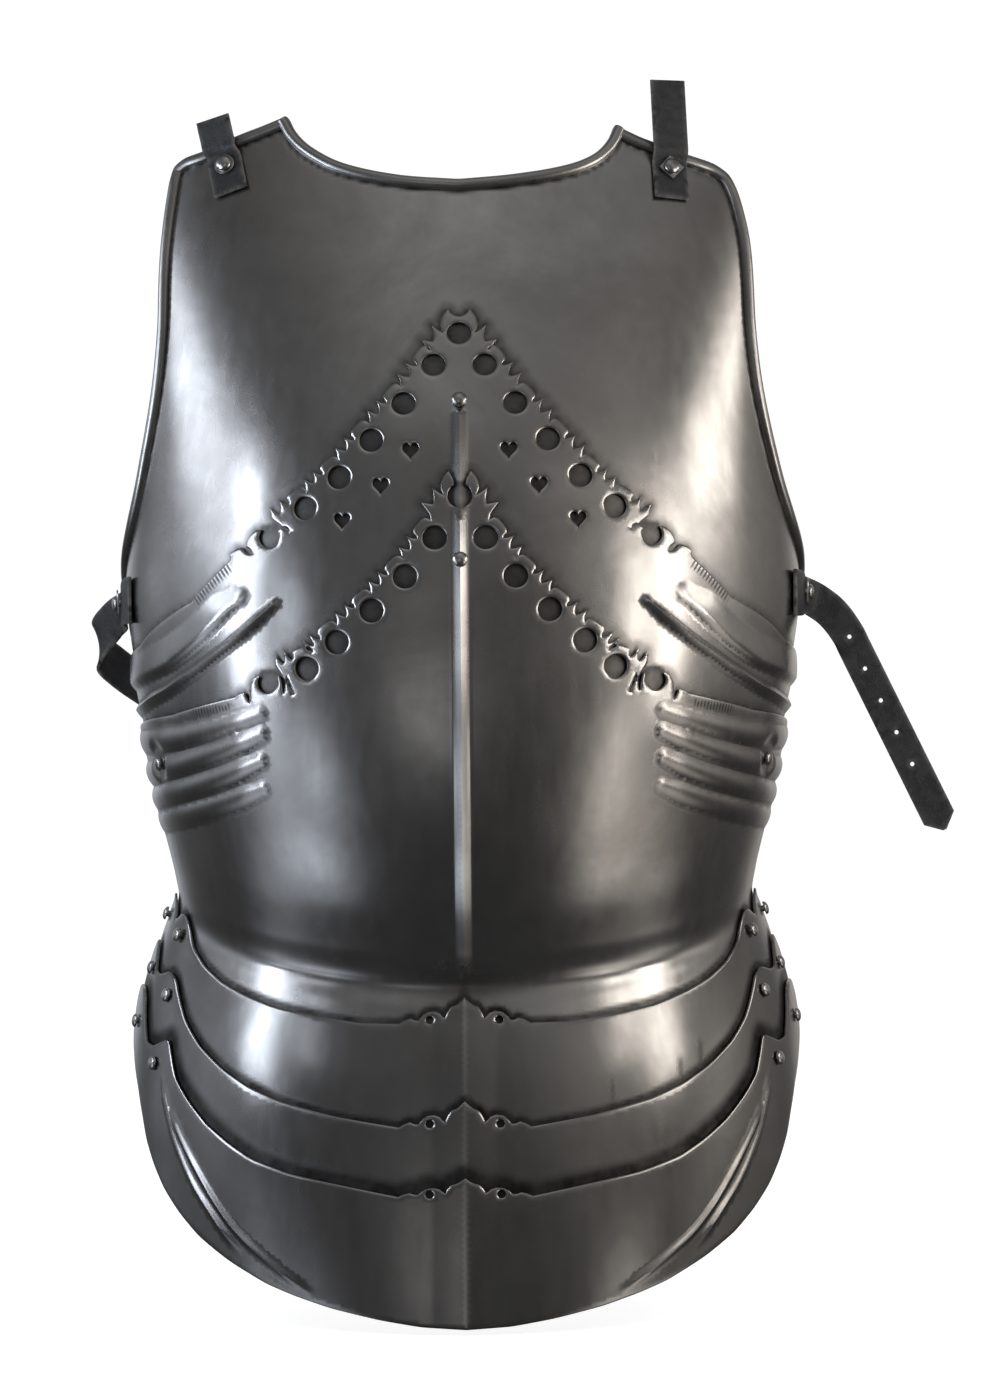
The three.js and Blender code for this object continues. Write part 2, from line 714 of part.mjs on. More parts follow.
// ---------------------------------------------------------------- leather straps

const leather = { thickness: 2.4, width: 19 };

const strapRivets = [
  { name: 'shoulder_strap_left', theta: -46.5, z: 388 },
  { name: 'shoulder_strap_right', theta: 41, z: 383.5 },
  { name: 'side_strap_left', theta: -84.5, z: 159 },
  { name: 'side_strap_right', theta: 84.5, z: 162 },
];

// A strap swept along points; the face direction is the travel direction crossed with the width direction.
function strapSolid(points) {
  const thickness = leather.thickness;
  const path = points.map((p) => p.at);
  const sides = [];
  const ups = [];
  path.forEach((p, i) => {
    const ahead = path[Math.min(i + 1, path.length - 1)].clone().sub(p);
    const behind = p.clone().sub(path[Math.max(i - 1, 0)]);
    const travel = ahead.normalize().add(behind.normalize()).normalize();
    const face = new THREE.Vector3().crossVectors(travel, points[i].wide).normalize();
    ups.push(face);
    sides.push(new THREE.Vector3().crossVectors(face, travel).normalize());
  });
  const ring = (i) => {
    const w = points[i].width / 2;
    const h = thickness / 2;
    return [[-w, -h], [w, -h], [w, h], [-w, h]];
  };
  return sweptSolid(path, sides, ups, ring);
}

const strapGap = 0.85;
const strapSeat = layers.upper[1] + strapGap + leather.thickness / 2;

function onPlate(theta, z, lift, width) {
  const angle = theta * degree;
  const side = torsoPoint(angle + 0.01, z, 0).sub(torsoPoint(angle - 0.01, z, 0)).normalize();
  return { at: torsoPoint(angle, z, lift), wide: side.negate(), width };
}

const shoulderStraps = {
  left: { rivet: 0, lean: -0.22, low: 374.5, seatTop: 393.6, edge: 398.5, top: 414.5 },
  right: { rivet: 1, lean: -0.04, low: 368.5, seatTop: 388.9, edge: 394.4, top: 432 },
};

// A shoulder strap lies on the plate under its rivet, clears the shoulder's turned edge and stands up.
function shoulderStrap({ rivet, lean, low, seatTop, edge, top }) {
  const { theta, z } = strapRivets[rivet];
  const x0 = torsoPoint(theta * degree, z, 0).x;
  const angleAt = (height) => thetaOfX(x0 + (height - z) * lean, height) / degree;
  const clear = strapSeat + 3.4;
  const points = [low, (low + seatTop) / 2, seatTop].map((h) => onPlate(angleAt(h), h, strapSeat, leather.width));
  points.push(onPlate(angleAt(edge), edge, clear, leather.width));
  const last = points[points.length - 1];
  for (const rise of [4, top - edge]) {
    points.push({
      at: last.at.clone().add(new THREE.Vector3(lean * rise, 0.12 * rise, rise)),
      wide: last.wide,
      width: leather.width,
    });
  }
  return points;
}

function freePoint(x, y, z, wide, width) {
  return { at: new THREE.Vector3(x, y, z), wide: new THREE.Vector3(...wide).normalize(), width };
}

// The right side strap is riveted on the plate's side, stands off it and hangs down with five holes.
const hangs = { from: [208, 4, 139.3], along: [0.436, 0, -0.9], length: 112 };

function sideStrapRight() {
  const up = [0, 0, 1];
  const tilted = [0.9, 0, 0.436];
  const points = [74, 80, 85, 89].map((angle, i) => {
    const point = onPlate(angle, 161, strapSeat, [25, 24, 22, 20][i]);
    point.wide = new THREE.Vector3(...up);
    return point;
  });
  points.push(freePoint(189.5, 5, 158.5, [0.15, 0, 1], 19));
  points.push(freePoint(199, 5.5, 151.5, [0.55, 0, 0.83], 18.5));
  const at = (d) => hangs.from.map((c, i) => c + hangs.along[i] * d);
  points.push(freePoint(...at(0), tilted, 18));
  points.push(freePoint(...at(7), tilted, 18));
  points.push(freePoint(...at(hangs.length), tilted, 18));
  points.push(freePoint(...at(hangs.length + 6), tilted, 9));
  return points;
}

// The left side strap folds out and back, and its end passes behind the plate.
function sideStrapLeft() {
  const down = [0, 0, -1];
  const points = [-74, -80, -85, -89].map((angle, i) => {
    const point = onPlate(angle, [160, 159.5, 158, 155.5][i], strapSeat, [25, 24, 22, 21][i]);
    point.wide = new THREE.Vector3(...down);
    return point;
  });
  points.push(freePoint(-190, 6, 150, [0.25, 0, -1], 20));
  points.push(freePoint(-197, 14, 141, [0.2, 0, -1], 20));
  points.push(freePoint(-196, 24, 132, [0, 0, -1], 20));
  points.push(freePoint(-186, 31, 122, [-0.2, 0, -1], 20));
  points.push(freePoint(-172, 34, 112, [-0.3, 0, -1], 20));
  points.push(freePoint(-166.5, 34.5, 108.5, [-0.3, 0, -1], 20));
  points.push(freePoint(-150, 36, 98, [-0.3, 0, -1], 20));
  return points;
}

function holeAcross(x, y, z, radius) {
  const side = new THREE.Vector3(1, 0, 0);
  const up = new THREE.Vector3(0, 0, 1);
  const path = [new THREE.Vector3(x, y + 12, z), new THREE.Vector3(x, y - 12, z)];
  return sweptSolid(path, [side, side], [up, up], () => circlePoints(radius, 6));
}

function strapWithHoles(points, rivetIndex, holes) {
  const { theta, z } = strapRivets[rivetIndex];
  const cutters = [shankCutter(theta, z, rivets.strap.shank + shankPlay, -4, 14)];
  holes.forEach((hole) => cutters.push(holeAcross(...hole)));
  return cutAll(strapSolid(points), cutters);
}

const sideHoles = [0, 1, 2, 3, 4].map((i) => {
  const [x, y, z] = hangs.from.map((c, k) => c + hangs.along[k] * i * 19.2);
  return [x, y, z, 1.9];
});

// ---------------------------------------------------------------- the assembly

const finishes = {
  steelUpper: { color: 0x8a8987, roughness: 0.32, metalness: 1 },
  steelMiddle: { color: 0x7d7c7b, roughness: 0.3, metalness: 1 },
  steelLower: { color: 0x85868a, roughness: 0.28, metalness: 1 },
  steelFauld: { color: 0x8d8b88, roughness: 0.3, metalness: 1 },
  rivet: { color: 0xb4b3b0, roughness: 0.22, metalness: 1 },
  washer: { color: 0x5a5958, roughness: 0.35, metalness: 1 },
  leather: { color: 0x17181a, roughness: 0.62, metalness: 0 },
};

function geometryOf(solid) {
  const mesh = solid.getMesh();
  const geometry = new THREE.BufferGeometry();
  const positions = new Float32Array((mesh.vertProperties.length / mesh.numProp) * 3);
  for (let i = 0; i * mesh.numProp < mesh.vertProperties.length; i += 1) {
    for (let k = 0; k < 3; k += 1) positions[i * 3 + k] = mesh.vertProperties[i * mesh.numProp + k];
  }
  geometry.setAttribute('position', new THREE.BufferAttribute(positions, 3));
  geometry.setIndex(new THREE.BufferAttribute(new Uint32Array(mesh.triVerts), 1));
  return geometry;
}

const group = new THREE.Group();
group.name = 'gothic_breastplate';

function addNode(name, geometry, finish) {
  geometry.computeVertexNormals();
  const mesh = new THREE.Mesh(geometry, new THREE.MeshStandardMaterial(finishes[finish]));
  mesh.name = name;
  group.add(mesh);
  return mesh;
}

// Sets a lathed part on a rivet line, its own +Y along the axis.
function seat(geometry, line, distance) {
  const turn = new THREE.Quaternion().setFromUnitVectors(new THREE.Vector3(0, 1, 0), line.axis);
  geometry.applyQuaternion(turn);
  const at = line.foot.clone().addScaledVector(line.axis, distance);
  geometry.translate(at.x, at.y, at.z);
  return geometry;
}

function closedLathe(profile, sides) {
  const lathe = new THREE.LatheGeometry(profile.map(([r, y]) => new THREE.Vector2(r, y)), sides);
  lathe.deleteAttribute('normal');
  lathe.deleteAttribute('uv');
  return mergeVertices(lathe, 1e-4);
}

function addRivet(place) {
  const line = rivetLine(place.theta, place.z);
  const reach = place.outer * line.shrink + faceGap;
  const grip = reach - (place.inner * line.shrink - faceGap);
  addNode(place.name, seat(rivetGeometry(place.kind, grip), line, reach), 'rivet');
}

const washerThickness = 0.9;

function addStrapFittings(strap, washer) {
  const line = rivetLine(strap.theta, strap.z);
  const top = (strapSeat + leather.thickness / 2 + 0.3) * line.shrink + 0.6;
  const hole = rivets.strap.shank + shankPlay;
  const profile = [[hole, 0], [washer, 0], [washer, washerThickness], [hole, washerThickness], [hole, 0]];
  addNode(`washer_${strap.name}`, seat(closedLathe(profile, 8), line, top), 'washer');
  const reach = top + washerThickness + 0.3;
  addNode(`rivet_${strap.name}`, seat(rivetGeometry('strap', reach + 2.2), line, reach), 'rivet');
}

addNode('upper_breastplate', geometryOf(upperBreastplate()), 'steelUpper');
addNode('middle_plate', geometryOf(middlePlate()), 'steelMiddle');
addNode('plackart', geometryOf(plackart()), 'steelLower');

const [joint1, joint2, joint3] = fauldJoints;
const lameRows = [0, 0.33, 0.66, 1];
const bibRows = [0, 0.2, 0.4, 0.6, 0.8, 1];
const lameRelief = (theta, z) => keelRelief(theta, z);
const lowestRelief = (theta, z) => keelRelief(theta, z) + bibRelief(theta, z);
addNode('fauld_lame_1', geometryOf(fauldLame('lame_1', 'lame1', lameRows, lameRelief,
  [...rivetHoles(joint1), ...parentHoles(joint2)])), 'steelFauld');
addNode('fauld_lame_2', geometryOf(fauldLame('lame_2', 'lame2', lameRows, lameRelief,
  [...rivetHoles(joint2), ...parentHoles(joint3)])), 'steelFauld');
addNode('fauld_lame_3', geometryOf(fauldLame('lame_3', 'lame3', bibRows, lowestRelief,
  rivetHoles(joint3))), 'steelFauld');

addNode('shoulder_strap_left', geometryOf(strapWithHoles(shoulderStrap(shoulderStraps.left), 0, [])), 'leather');
addNode('shoulder_strap_right', geometryOf(strapWithHoles(shoulderStrap(shoulderStraps.right), 1, [])), 'leather');
addNode('side_strap_left', geometryOf(strapWithHoles(sideStrapLeft(), 2, [])), 'leather');
addNode('side_strap_right', geometryOf(strapWithHoles(sideStrapRight(), 3, sideHoles)), 'leather');

strapRivets.forEach((strap) => addStrapFittings(strap, 5.6));
rivetPlaces.forEach(addRivet);

export default group;
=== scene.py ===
"""Looks of a gothic steel breastplate: three overlapping plates, a fauld of three lames and leather straps.

Lengths in this file are millimetres, +Z up, the front facing -Y and the torso axis at the waist as origin.
"""

import math

import bpy
import numpy as np
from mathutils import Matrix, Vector
from mathutils.geometry import delaunay_2d_cdt


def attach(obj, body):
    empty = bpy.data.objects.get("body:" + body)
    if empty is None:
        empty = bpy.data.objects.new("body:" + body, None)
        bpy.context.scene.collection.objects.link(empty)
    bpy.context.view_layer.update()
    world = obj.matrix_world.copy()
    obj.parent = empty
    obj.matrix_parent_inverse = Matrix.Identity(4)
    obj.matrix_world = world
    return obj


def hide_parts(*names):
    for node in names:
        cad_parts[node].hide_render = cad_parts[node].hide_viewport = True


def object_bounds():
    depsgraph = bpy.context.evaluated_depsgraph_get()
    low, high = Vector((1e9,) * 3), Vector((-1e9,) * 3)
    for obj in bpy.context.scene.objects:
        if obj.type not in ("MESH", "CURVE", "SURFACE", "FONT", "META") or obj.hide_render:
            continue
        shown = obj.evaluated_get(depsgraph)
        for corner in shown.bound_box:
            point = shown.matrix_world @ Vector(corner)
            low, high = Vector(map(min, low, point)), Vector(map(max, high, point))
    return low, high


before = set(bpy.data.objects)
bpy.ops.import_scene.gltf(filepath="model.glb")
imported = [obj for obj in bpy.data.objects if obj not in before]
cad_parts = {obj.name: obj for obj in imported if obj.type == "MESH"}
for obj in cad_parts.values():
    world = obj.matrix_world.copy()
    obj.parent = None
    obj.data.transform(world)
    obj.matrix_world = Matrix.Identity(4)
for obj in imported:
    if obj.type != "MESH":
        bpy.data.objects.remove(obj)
cad_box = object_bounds()

bl_info = {
    "name": "Gothic breastplate",
    "version": (1, 0, 0),
    "blender": (4, 5, 0),
    "location": "View3D > Sidebar > Breastplate",
    "description": "Builds the plates, lames, rolls, rivets and straps of a gothic breastplate",
    "category": "Add Mesh",
}

# ---------------------------------------------------------------- settings


class PlateSettings(bpy.types.PropertyGroup):
    """Sizes of the plates that a maker would change."""

    edge_round: bpy.props.FloatProperty(
        name="Edge rounding", description="How far the filed edge of a plate drops, in millimetres",
        default=0.45, min=0.0, max=0.8, unit="NONE")
    roll_height: bpy.props.FloatProperty(
        name="Roll height", description="Half the thickness of the rolled border, in millimetres",
        default=2.9, min=1.0, max=3.4, unit="NONE")
    roll_width: bpy.props.FloatProperty(
        name="Roll width", description="Half the width of the rolled border, in millimetres",
        default=3.1, min=1.0, max=4.0, unit="NONE")
    fineness: bpy.props.FloatProperty(
        name="Fineness", description="Spacing of the points on a plate, as a share of the usual spacing",
        default=1.0, min=0.7, max=3.0, subtype="FACTOR")


class FinishSettings(bpy.types.PropertyGroup):
    """Colours and gloss of the metal and the leather."""

    steel: bpy.props.FloatVectorProperty(
        name="Steel", description="Colour of the polished steel", subtype="COLOR",
        size=3, default=(0.50, 0.49, 0.485), min=0.0, max=1.0)
    patina: bpy.props.FloatVectorProperty(
        name="Patina", description="Colour of the darkened steel", subtype="COLOR",
        size=3, default=(0.35, 0.335, 0.325), min=0.0, max=1.0)
    # The colour that edges and crests are brightened towards: partly rubbed wear, partly a painted highlight.
    worn_and_sheen: bpy.props.FloatVectorProperty(
        name="Worn steel", description="Colour of edges and crests that are rubbed bright", subtype="COLOR",
        size=3, default=(0.78, 0.77, 0.76), min=0.0, max=1.0)
    leather: bpy.props.FloatVectorProperty(
        name="Leather", description="Colour of the straps", subtype="COLOR",
        size=3, default=(0.013, 0.0135, 0.015), min=0.0, max=1.0)
    roughness: bpy.props.FloatProperty(
        name="Steel roughness", description="Roughness of the steel where it is clean",
        default=0.215, min=0.05, max=0.8, subtype="FACTOR")


# ---------------------------------------------------------------- the torso surface

DEGREE = math.pi / 180
ARC = 160.0  # millimetres of plate to one radian round the torso, near enough for laying out grids

# Each row: station height, half width, depth in front of the torso axis.
SECTIONS = np.array([
    (-200, 170, 156), (-130, 169.5, 149), (-90, 168.5, 142), (-50, 163.5, 132), (-25, 156.5, 123.5),
    (-12, 152, 118.5), (0, 148.7, 114.5), (16, 150.8, 122.5), (40, 156.5, 134), (70, 163.5, 143),
    (100, 170, 147), (130, 176, 147), (165, 180, 142), (200, 177, 134), (250, 173, 120),
    (300, 172, 101), (350, 172, 79), (400, 166, 57), (440, 158, 44),
])


def smooth_table(x, xs, ys):
    """Cubic pieces through the points; the slope at a point is the mean of the slopes of its two spans."""
    spans = np.diff(ys) / np.diff(xs)
    slopes = np.concatenate([spans[:1], (spans[:-1] + spans[1:]) / 2, spans[-1:]])
    i = np.clip(np.searchsorted(xs, x, side="right") - 1, 0, len(xs) - 2)
    step = xs[i + 1] - xs[i]
    t = (x - xs[i]) / step
    rise = (3 - 2 * t) * t * t
    return ((1 - rise) * ys[i] + rise * ys[i + 1]
            + step * (t * (1 - t) ** 2 * slopes[i] - t * t * (1 - t) * slopes[i + 1]))


def smooth_step(t):
    """0 below 0, 1 above 1 and 3t^2 - 2t^3 between."""
    c = np.clip(t, 0, 1)
    return c * c * (3 - 2 * c)


def unit(vectors):
    """The same directions, each with length one."""
    return vectors / np.maximum(np.linalg.norm(vectors, axis=-1, keepdims=True), 1e-9)


def turns(count):
    """Evenly spaced angles once round a circle."""
    return np.arange(count) / count * 2 * math.pi


def circle(turn):
    """Points of a circle of radius one at the given angles."""
    return np.stack([np.cos(turn), np.sin(turn)], -1)


def travelled(line):
    """Length along a line at each of its points."""
    return np.concatenate([[0], np.cumsum(np.linalg.norm(np.diff(line, axis=0), axis=1))])


def line_length(line):
    """Length of a whole line."""
    return np.linalg.norm(np.diff(line, axis=0), axis=1).sum()


def across_line(line):
    """Directions square to a line on the layout, to the left of its travel."""
    ahead = unit(np.gradient(line, axis=0))
    return np.stack([-ahead[:, 1], ahead[:, 0]], -1)


def torso_size(theta, z):
    """Half width and depth at a height; low sections hang 43 mm lower at the front than at the sides."""
    station = z - (3 - 43 * np.cos(theta)) * (1 - smooth_step(z / 250))
    return (smooth_table(station, SECTIONS[:, 0], SECTIONS[:, 1]),
            smooth_table(station, SECTIONS[:, 0], SECTIONS[:, 2]))


def torso(theta, z, offset):
    """Ellipse at height z, moved outward by offset along its level normal."""
    theta, z, offset = np.broadcast_arrays(np.asarray(theta, float), np.asarray(z, float), offset)
    width, depth = torso_size(theta, z)
    normal = unit(np.stack([np.sin(theta) / width, -np.cos(theta) / depth], -1))
    flat = np.stack([width * np.sin(theta), -depth * np.cos(theta)], -1) + normal * offset[..., None]
    return np.concatenate([flat, z[..., None]], -1)


def angle_at(x, z):
    """The angle round the torso at which the surface stands at x, found by repeated substitution."""
    x, z = np.broadcast_arrays(np.asarray(x, float), np.asarray(z, float))
    theta = np.arcsin(np.minimum(0.98, np.abs(x) / 172))
    for _ in range(14):
        width, _depth = torso_size(theta, z)
        theta = np.arcsin(np.minimum(0.999, np.abs(x) / width))
    return np.where(x < 0, -theta, theta)


def torso_normal(theta, z):
    """Cross product of the surface's slopes round and up."""
    across = torso(theta + 0.01, z, 0.0) - torso(theta - 0.01, z, 0.0)
    up = torso(theta, z + 1.0, 0.0) - torso(theta, z - 1.0, 0.0)
    return unit(np.cross(across, up))


def on_plan(x, z):
    """Layout point, arc length round the torso and height, of a point seen from the front."""
    return np.stack([angle_at(x, z) * ARC, np.broadcast_to(z, np.shape(x)).astype(float)], -1)


def on_layout(points):
    """A table of angles in degrees and heights as points on the layout."""
    return np.array([(angle * DEGREE * ARC, z) for angle, z in points], float)


def layout_points(theta, z):
    """Arrays of angles in radians and heights as one row of layout points."""
    return np.stack([np.ravel(theta) * ARC, np.ravel(z)], -1)


# ---------------------------------------------------------------- relief of the plates

RIDGE = {"top": 254, "fade": 2.5, "bottom": -40, "height": 2.3, "half": 4.2}
SIDE_EDGE = 97
SIDE_RIVET = (67.5, 74.5)
FLUTE_END = 95.5 * DEGREE * ARC
BIB = {"height": 1.3, "half": 2.7}
# Each flute: crest line as angle and height, how high it stands, reach above and below, and its power.
MIDDLE_FLUTES = [
    ([(38.9, 156.7), (43.8, 147.5), (49.7, 135.2), (58.4, 124.9), (74.3, 117.5), (97, 114)],
     2.4, 13.0, 4.4, 1.4),
    ([(31.1, 155.5), (35.3, 145.4), (41.1, 134.6), (50.3, 121.3), (59.4, 111.9), (73.6, 104), (97, 98)],
     2.5, 3.4, 4.2, 1.2),
]
PLACKART_FLUTES = [
    ([(35, 99.5), (40.3, 94.7), (46.5, 90.5), (55.4, 87.1), (68.5, 85.1), (97, 83)], 1.7, 6.4, 6.4, 2.0),
    ([(35.2, 88.8), (40.9, 83), (47.3, 78.1), (56.8, 73), (71.8, 68.6), (97, 66)], 2.2, 6.8, 6.8, 2.0),
    ([(35.9, 75), (41.6, 69.1), (48.2, 64.2), (58.4, 59.4), (72.9, 54.8), (97, 52)], 2.2, 6.8, 6.8, 2.0),
    ([(36.1, 60.8), (42.3, 55.3), (49.3, 51.2), (60.1, 46.8), (73.3, 43.7), (97, 41)], 1.6, 6.0, 7.0, 2.0),
]
# The two ridges on each side of the bottom lame, as angle and height.
BIB_RIDGES = [
    [(62.3, -89.2), (60.5, -100.2), (57, -119), (53.9, -131.1), (50.7, -143.1), (46.2, -155.8),
     (42.6, -166.6), (38.8, -175.9)],
    [(58.8, -105), (54.7, -119.5), (50.5, -132.9), (45.5, -149.6), (43.1, -156.7), (39.7, -166),
     (33.4, -178.4), (25, -194.4)],
]


def curved(points):
    """A table of angles and heights as an evenly spaced curve on the layout."""
    return rounded_line(on_layout(points), 3.0, 8)


def nearest_on(points, line):
    """Step to each point from the nearest place on a line, its length, and how far along that place is."""
    start, step = line[:-1], np.diff(line, axis=0)
    length = np.linalg.norm(step, axis=1)
    rel = points[:, None] - start[None]
    share = np.clip((rel * step).sum(-1) / length ** 2, 0, 1)
    off = rel - share[..., None] * step
    away = np.linalg.norm(off, axis=-1)
    near = np.argmin(away, axis=1)
    rows = np.arange(len(points))
    ahead = (np.cumsum(length) - length)[near] + share[rows, near] * length[near]
    return off[rows, near], away[rows, near], ahead


def ridge_relief(theta, z):
    """A straight-sided crest on the centre line, faded at both ends."""
    x = np.abs(torso(theta, z, 0.0)[..., 0])
    ends = smooth_step((RIDGE["top"] - z) / RIDGE["fade"]) * smooth_step((z - RIDGE["bottom"]) / 14)
    return RIDGE["height"] * ends * np.maximum(0, 1 - x / RIDGE["half"])


def flute_reach(up, ahead, above, below):
    """Half width of a flute: from the one below to the one above it by direction, growing over 14 mm."""
    return (below + (above - below) * (0.5 + 0.5 * up)) * (0.74 + 0.26 * smooth_step(ahead / 14))


def flute_relief(flutes):
    """Crests with rounded, lower starts: rise * (1 - (distance / reach)^power), kept off the side rivet."""
    crests = [(curved(line), *sizes) for line, *sizes in flutes]
    rivet = on_layout([SIDE_RIVET])[0]

    def relief(theta, z):
        """Height of the highest flute at each point."""
        points = layout_points(np.abs(theta), z)
        room = smooth_step((np.hypot(*(points - rivet).T) - 7) / 6)
        most = np.zeros(len(points))
        for line, height, above, below, power in crests:
            off, away, ahead = nearest_on(points, line)
            reach = flute_reach(off[:, 1] / np.maximum(away, 1e-6), ahead, above, below)
            rise = height * (0.6 + 0.4 * smooth_step(ahead / 16))
            most = np.maximum(most, room * rise * (1 - np.clip(away / reach, 0, 1) ** power))
        return most.reshape(np.shape(z))
    return relief


def keel_relief(theta, z):
    """A wide low crest on the centre line of a lame."""
    return 1.8 * np.maximum(0, 1 - np.abs(torso(theta, z, 0.0)[..., 0]) / 16)


def distance_to_lines(points, lines, closed=False):
    """Least distance from each point to the straight pieces of the given lines."""
    best = np.full(len(points), 1e9)
    for line in lines:
        line = np.asarray(line, float)
        ends = np.concatenate([line, line[:1]]) if closed else line
        for first in range(0, len(ends) - 1, 64):
            a = ends[first:first + 65][:-1]
            d = ends[first:first + 65][1:] - a
            rel = points[:, None, :] - a[None]
            t = np.clip((rel * d).sum(-1) / np.maximum((d * d).sum(-1), 1e-9), 0, 1)
            best = np.minimum(best, np.linalg.norm(rel - t[..., None] * d, axis=-1).min(1))
    return best


def bib_relief(theta, z):
    """Two steep ridges across each side of the bottom lame, faded at both ends, beside its keel."""
    points = layout_points(np.abs(theta), z)
    most = np.zeros(len(points))
    for line in BIB_RIDGES:
        line = curved(line)
        _off, away, ahead = nearest_on(points, line)
        left = line_length(line) - ahead
        ends = smooth_step((ahead + 2) / 14) * smooth_step((left + 2) / 22)
        most = np.maximum(most, BIB["height"] * ends * np.maximum(0, 1 - (away / BIB["half"]) ** 1.5))
    return most.reshape(np.shape(z)) + keel_relief(theta, z)


def mirrored(lines):
    """Lines on the layout, each followed by its mirror image."""
    return [part for line in lines for part in (line, line * (-1, 1))]


def flute_lines(flutes):
    """Crest lines of the flutes on the layout, both sides."""
    lines = [curved(points) for points, *_sizes in flutes]
    return mirrored([line[line[:, 0] < FLUTE_END] for line in lines])


def flute_feet(flutes):
    """Lines where the flutes meet the plain plate, above and below each crest and round its start."""
    made = []
    for points, _height, above, below, _power in flutes:
        line = curved(points)
        across = across_line(line)
        sides = []
        for out in (across, -across):
            sides.append(line + out * flute_reach(out[:, 1], travelled(line), above, below)[:, None])
        start = math.atan2(across[0, 1], across[0, 0])
        cap = circle(start + np.linspace(0, math.pi, 14)[1:-1])
        cap = line[0] + cap * flute_reach(cap[:, 1], 0.0, above, below)[:, None]
        loop = np.concatenate([sides[0][::-1], cap, sides[1]])
        made.append(loop[loop[:, 0] < FLUTE_END])
    return mirrored(made)


def bib_lines():
    """Crest, flank and foot lines of the bottom lame's ridges on the layout, both sides."""
    made = []
    for points in BIB_RIDGES:
        line = curved(points)
        across = across_line(line)
        made.extend(line + across * BIB["half"] * share for share in (-1, -0.5, 0, 0.5, 1))
    return mirrored(made)


def ridge_lines(top, bottom):
    """The crest of the ridge on the centre line, then lines down both flanks and beside both feet."""
    z = np.linspace(top, bottom, int((top - bottom) / 1.6))
    flanks = [on_plan(np.full(len(z), RIDGE["half"] + away), z) for away in (-2.1, -0.4, 0.4, 2.0)]
    return [np.stack([0 * z, z], -1), *mirrored(flanks)]


# ---------------------------------------------------------------- sheets trimmed by an outline


def spaced(line, step):
    """The same line with its straight pieces cut to at most step long, corners kept."""
    line = np.asarray(line, float)
    parts = []
    for a, b in zip(line[:-1], line[1:]):
        count = max(1, int(math.ceil(np.linalg.norm(b - a) / step)))
        parts.append(a + (b - a) * np.linspace(0, 1, count, endpoint=False)[:, None])
    parts.append(line[-1:])
    return np.concatenate(parts)


def inside(points, loops):
    """Even-odd rule: a point is inside if a level ray from it crosses the loops an odd number of times."""
    odd = np.zeros(len(points), bool)
    for loop in loops:
        a = loop
        b = np.roll(loop, -1, axis=0)
        for first in range(0, len(a), 128):
            ax, ay = a[first:first + 128].T
            bx, by = b[first:first + 128].T
            spans = (ay[None] > points[:, 1:2]) != (by[None] > points[:, 1:2])
            flat = np.where(np.abs(by - ay) < 1e-12, 1e-12, by - ay)
            cross = ax + (points[:, 1:2] - ay) * (bx - ax) / flat
            odd ^= (spans & (points[:, 0:1] < cross)).sum(1) % 2 == 1
    return odd


def rings_inside(loops, depths):
    """Points at the given depths inside the metal, from each loop's own normals, kept off other edges."""
    made = []
    for loop in loops:
        ahead = unit(np.roll(loop, -1, axis=0) - loop)
        behind = unit(loop - np.roll(loop, 1, axis=0))
        normal = unit((ahead + behind) @ np.array([[0, 1], [-1, 0]]))
        for depth in depths:
            for side in (-1, 1):
                points = loop + normal * depth * side
                keep = distance_to_lines(points, loops, closed=True) > depth * 0.93
                made.append(points[keep])
    points = np.concatenate(made)
    return points[inside(points, loops)]


def even_grid(loops, spacing):
    """Points of a grid of even triangles that lie inside the loops."""
    everything = np.concatenate(loops)
    low, high = everything.min(0), everything.max(0)
    step = np.array([spacing, spacing * math.sqrt(0.75)])
    count = np.ceil((high - low) / step).astype(int) + 3
    column, row = np.meshgrid(np.arange(count[0]), np.arange(count[1]))
    grid = (low - step + np.stack([column + 0.5 * (row % 2), row], -1) * step).reshape(-1, 2)
    return grid[inside(grid, loops)]


def facing_front(plan, triangles):
    """The triangles that have an area, each turned the same way round."""
    a, b, c = plan[triangles[:, 0]], plan[triangles[:, 1]], plan[triangles[:, 2]]
    turn = (b[:, 0] - a[:, 0]) * (c[:, 1] - a[:, 1]) - (b[:, 1] - a[:, 1]) * (c[:, 0] - a[:, 0])
    triangles[turn < 0] = triangles[turn < 0][:, ::-1]
    return triangles[np.abs(turn) > 1e-7]


def filled(points, edges, loops):
    """Triangles between points that keep the given edges and lie inside the loops."""
    made = delaunay_2d_cdt([Vector(p) for p in points.tolist()], edges.tolist(), [], 0, 1e-4)
    plan = np.array([(p.x, p.y) for p in made[0]])
    triangles = np.array([f for f in made[2] if len(f) == 3])
    triangles = triangles[inside(plan[triangles].mean(1), loops)]
    used, index = np.unique(triangles, return_inverse=True)
    plan = plan[used]
    return plan, facing_front(plan, index.reshape(triangles.shape))


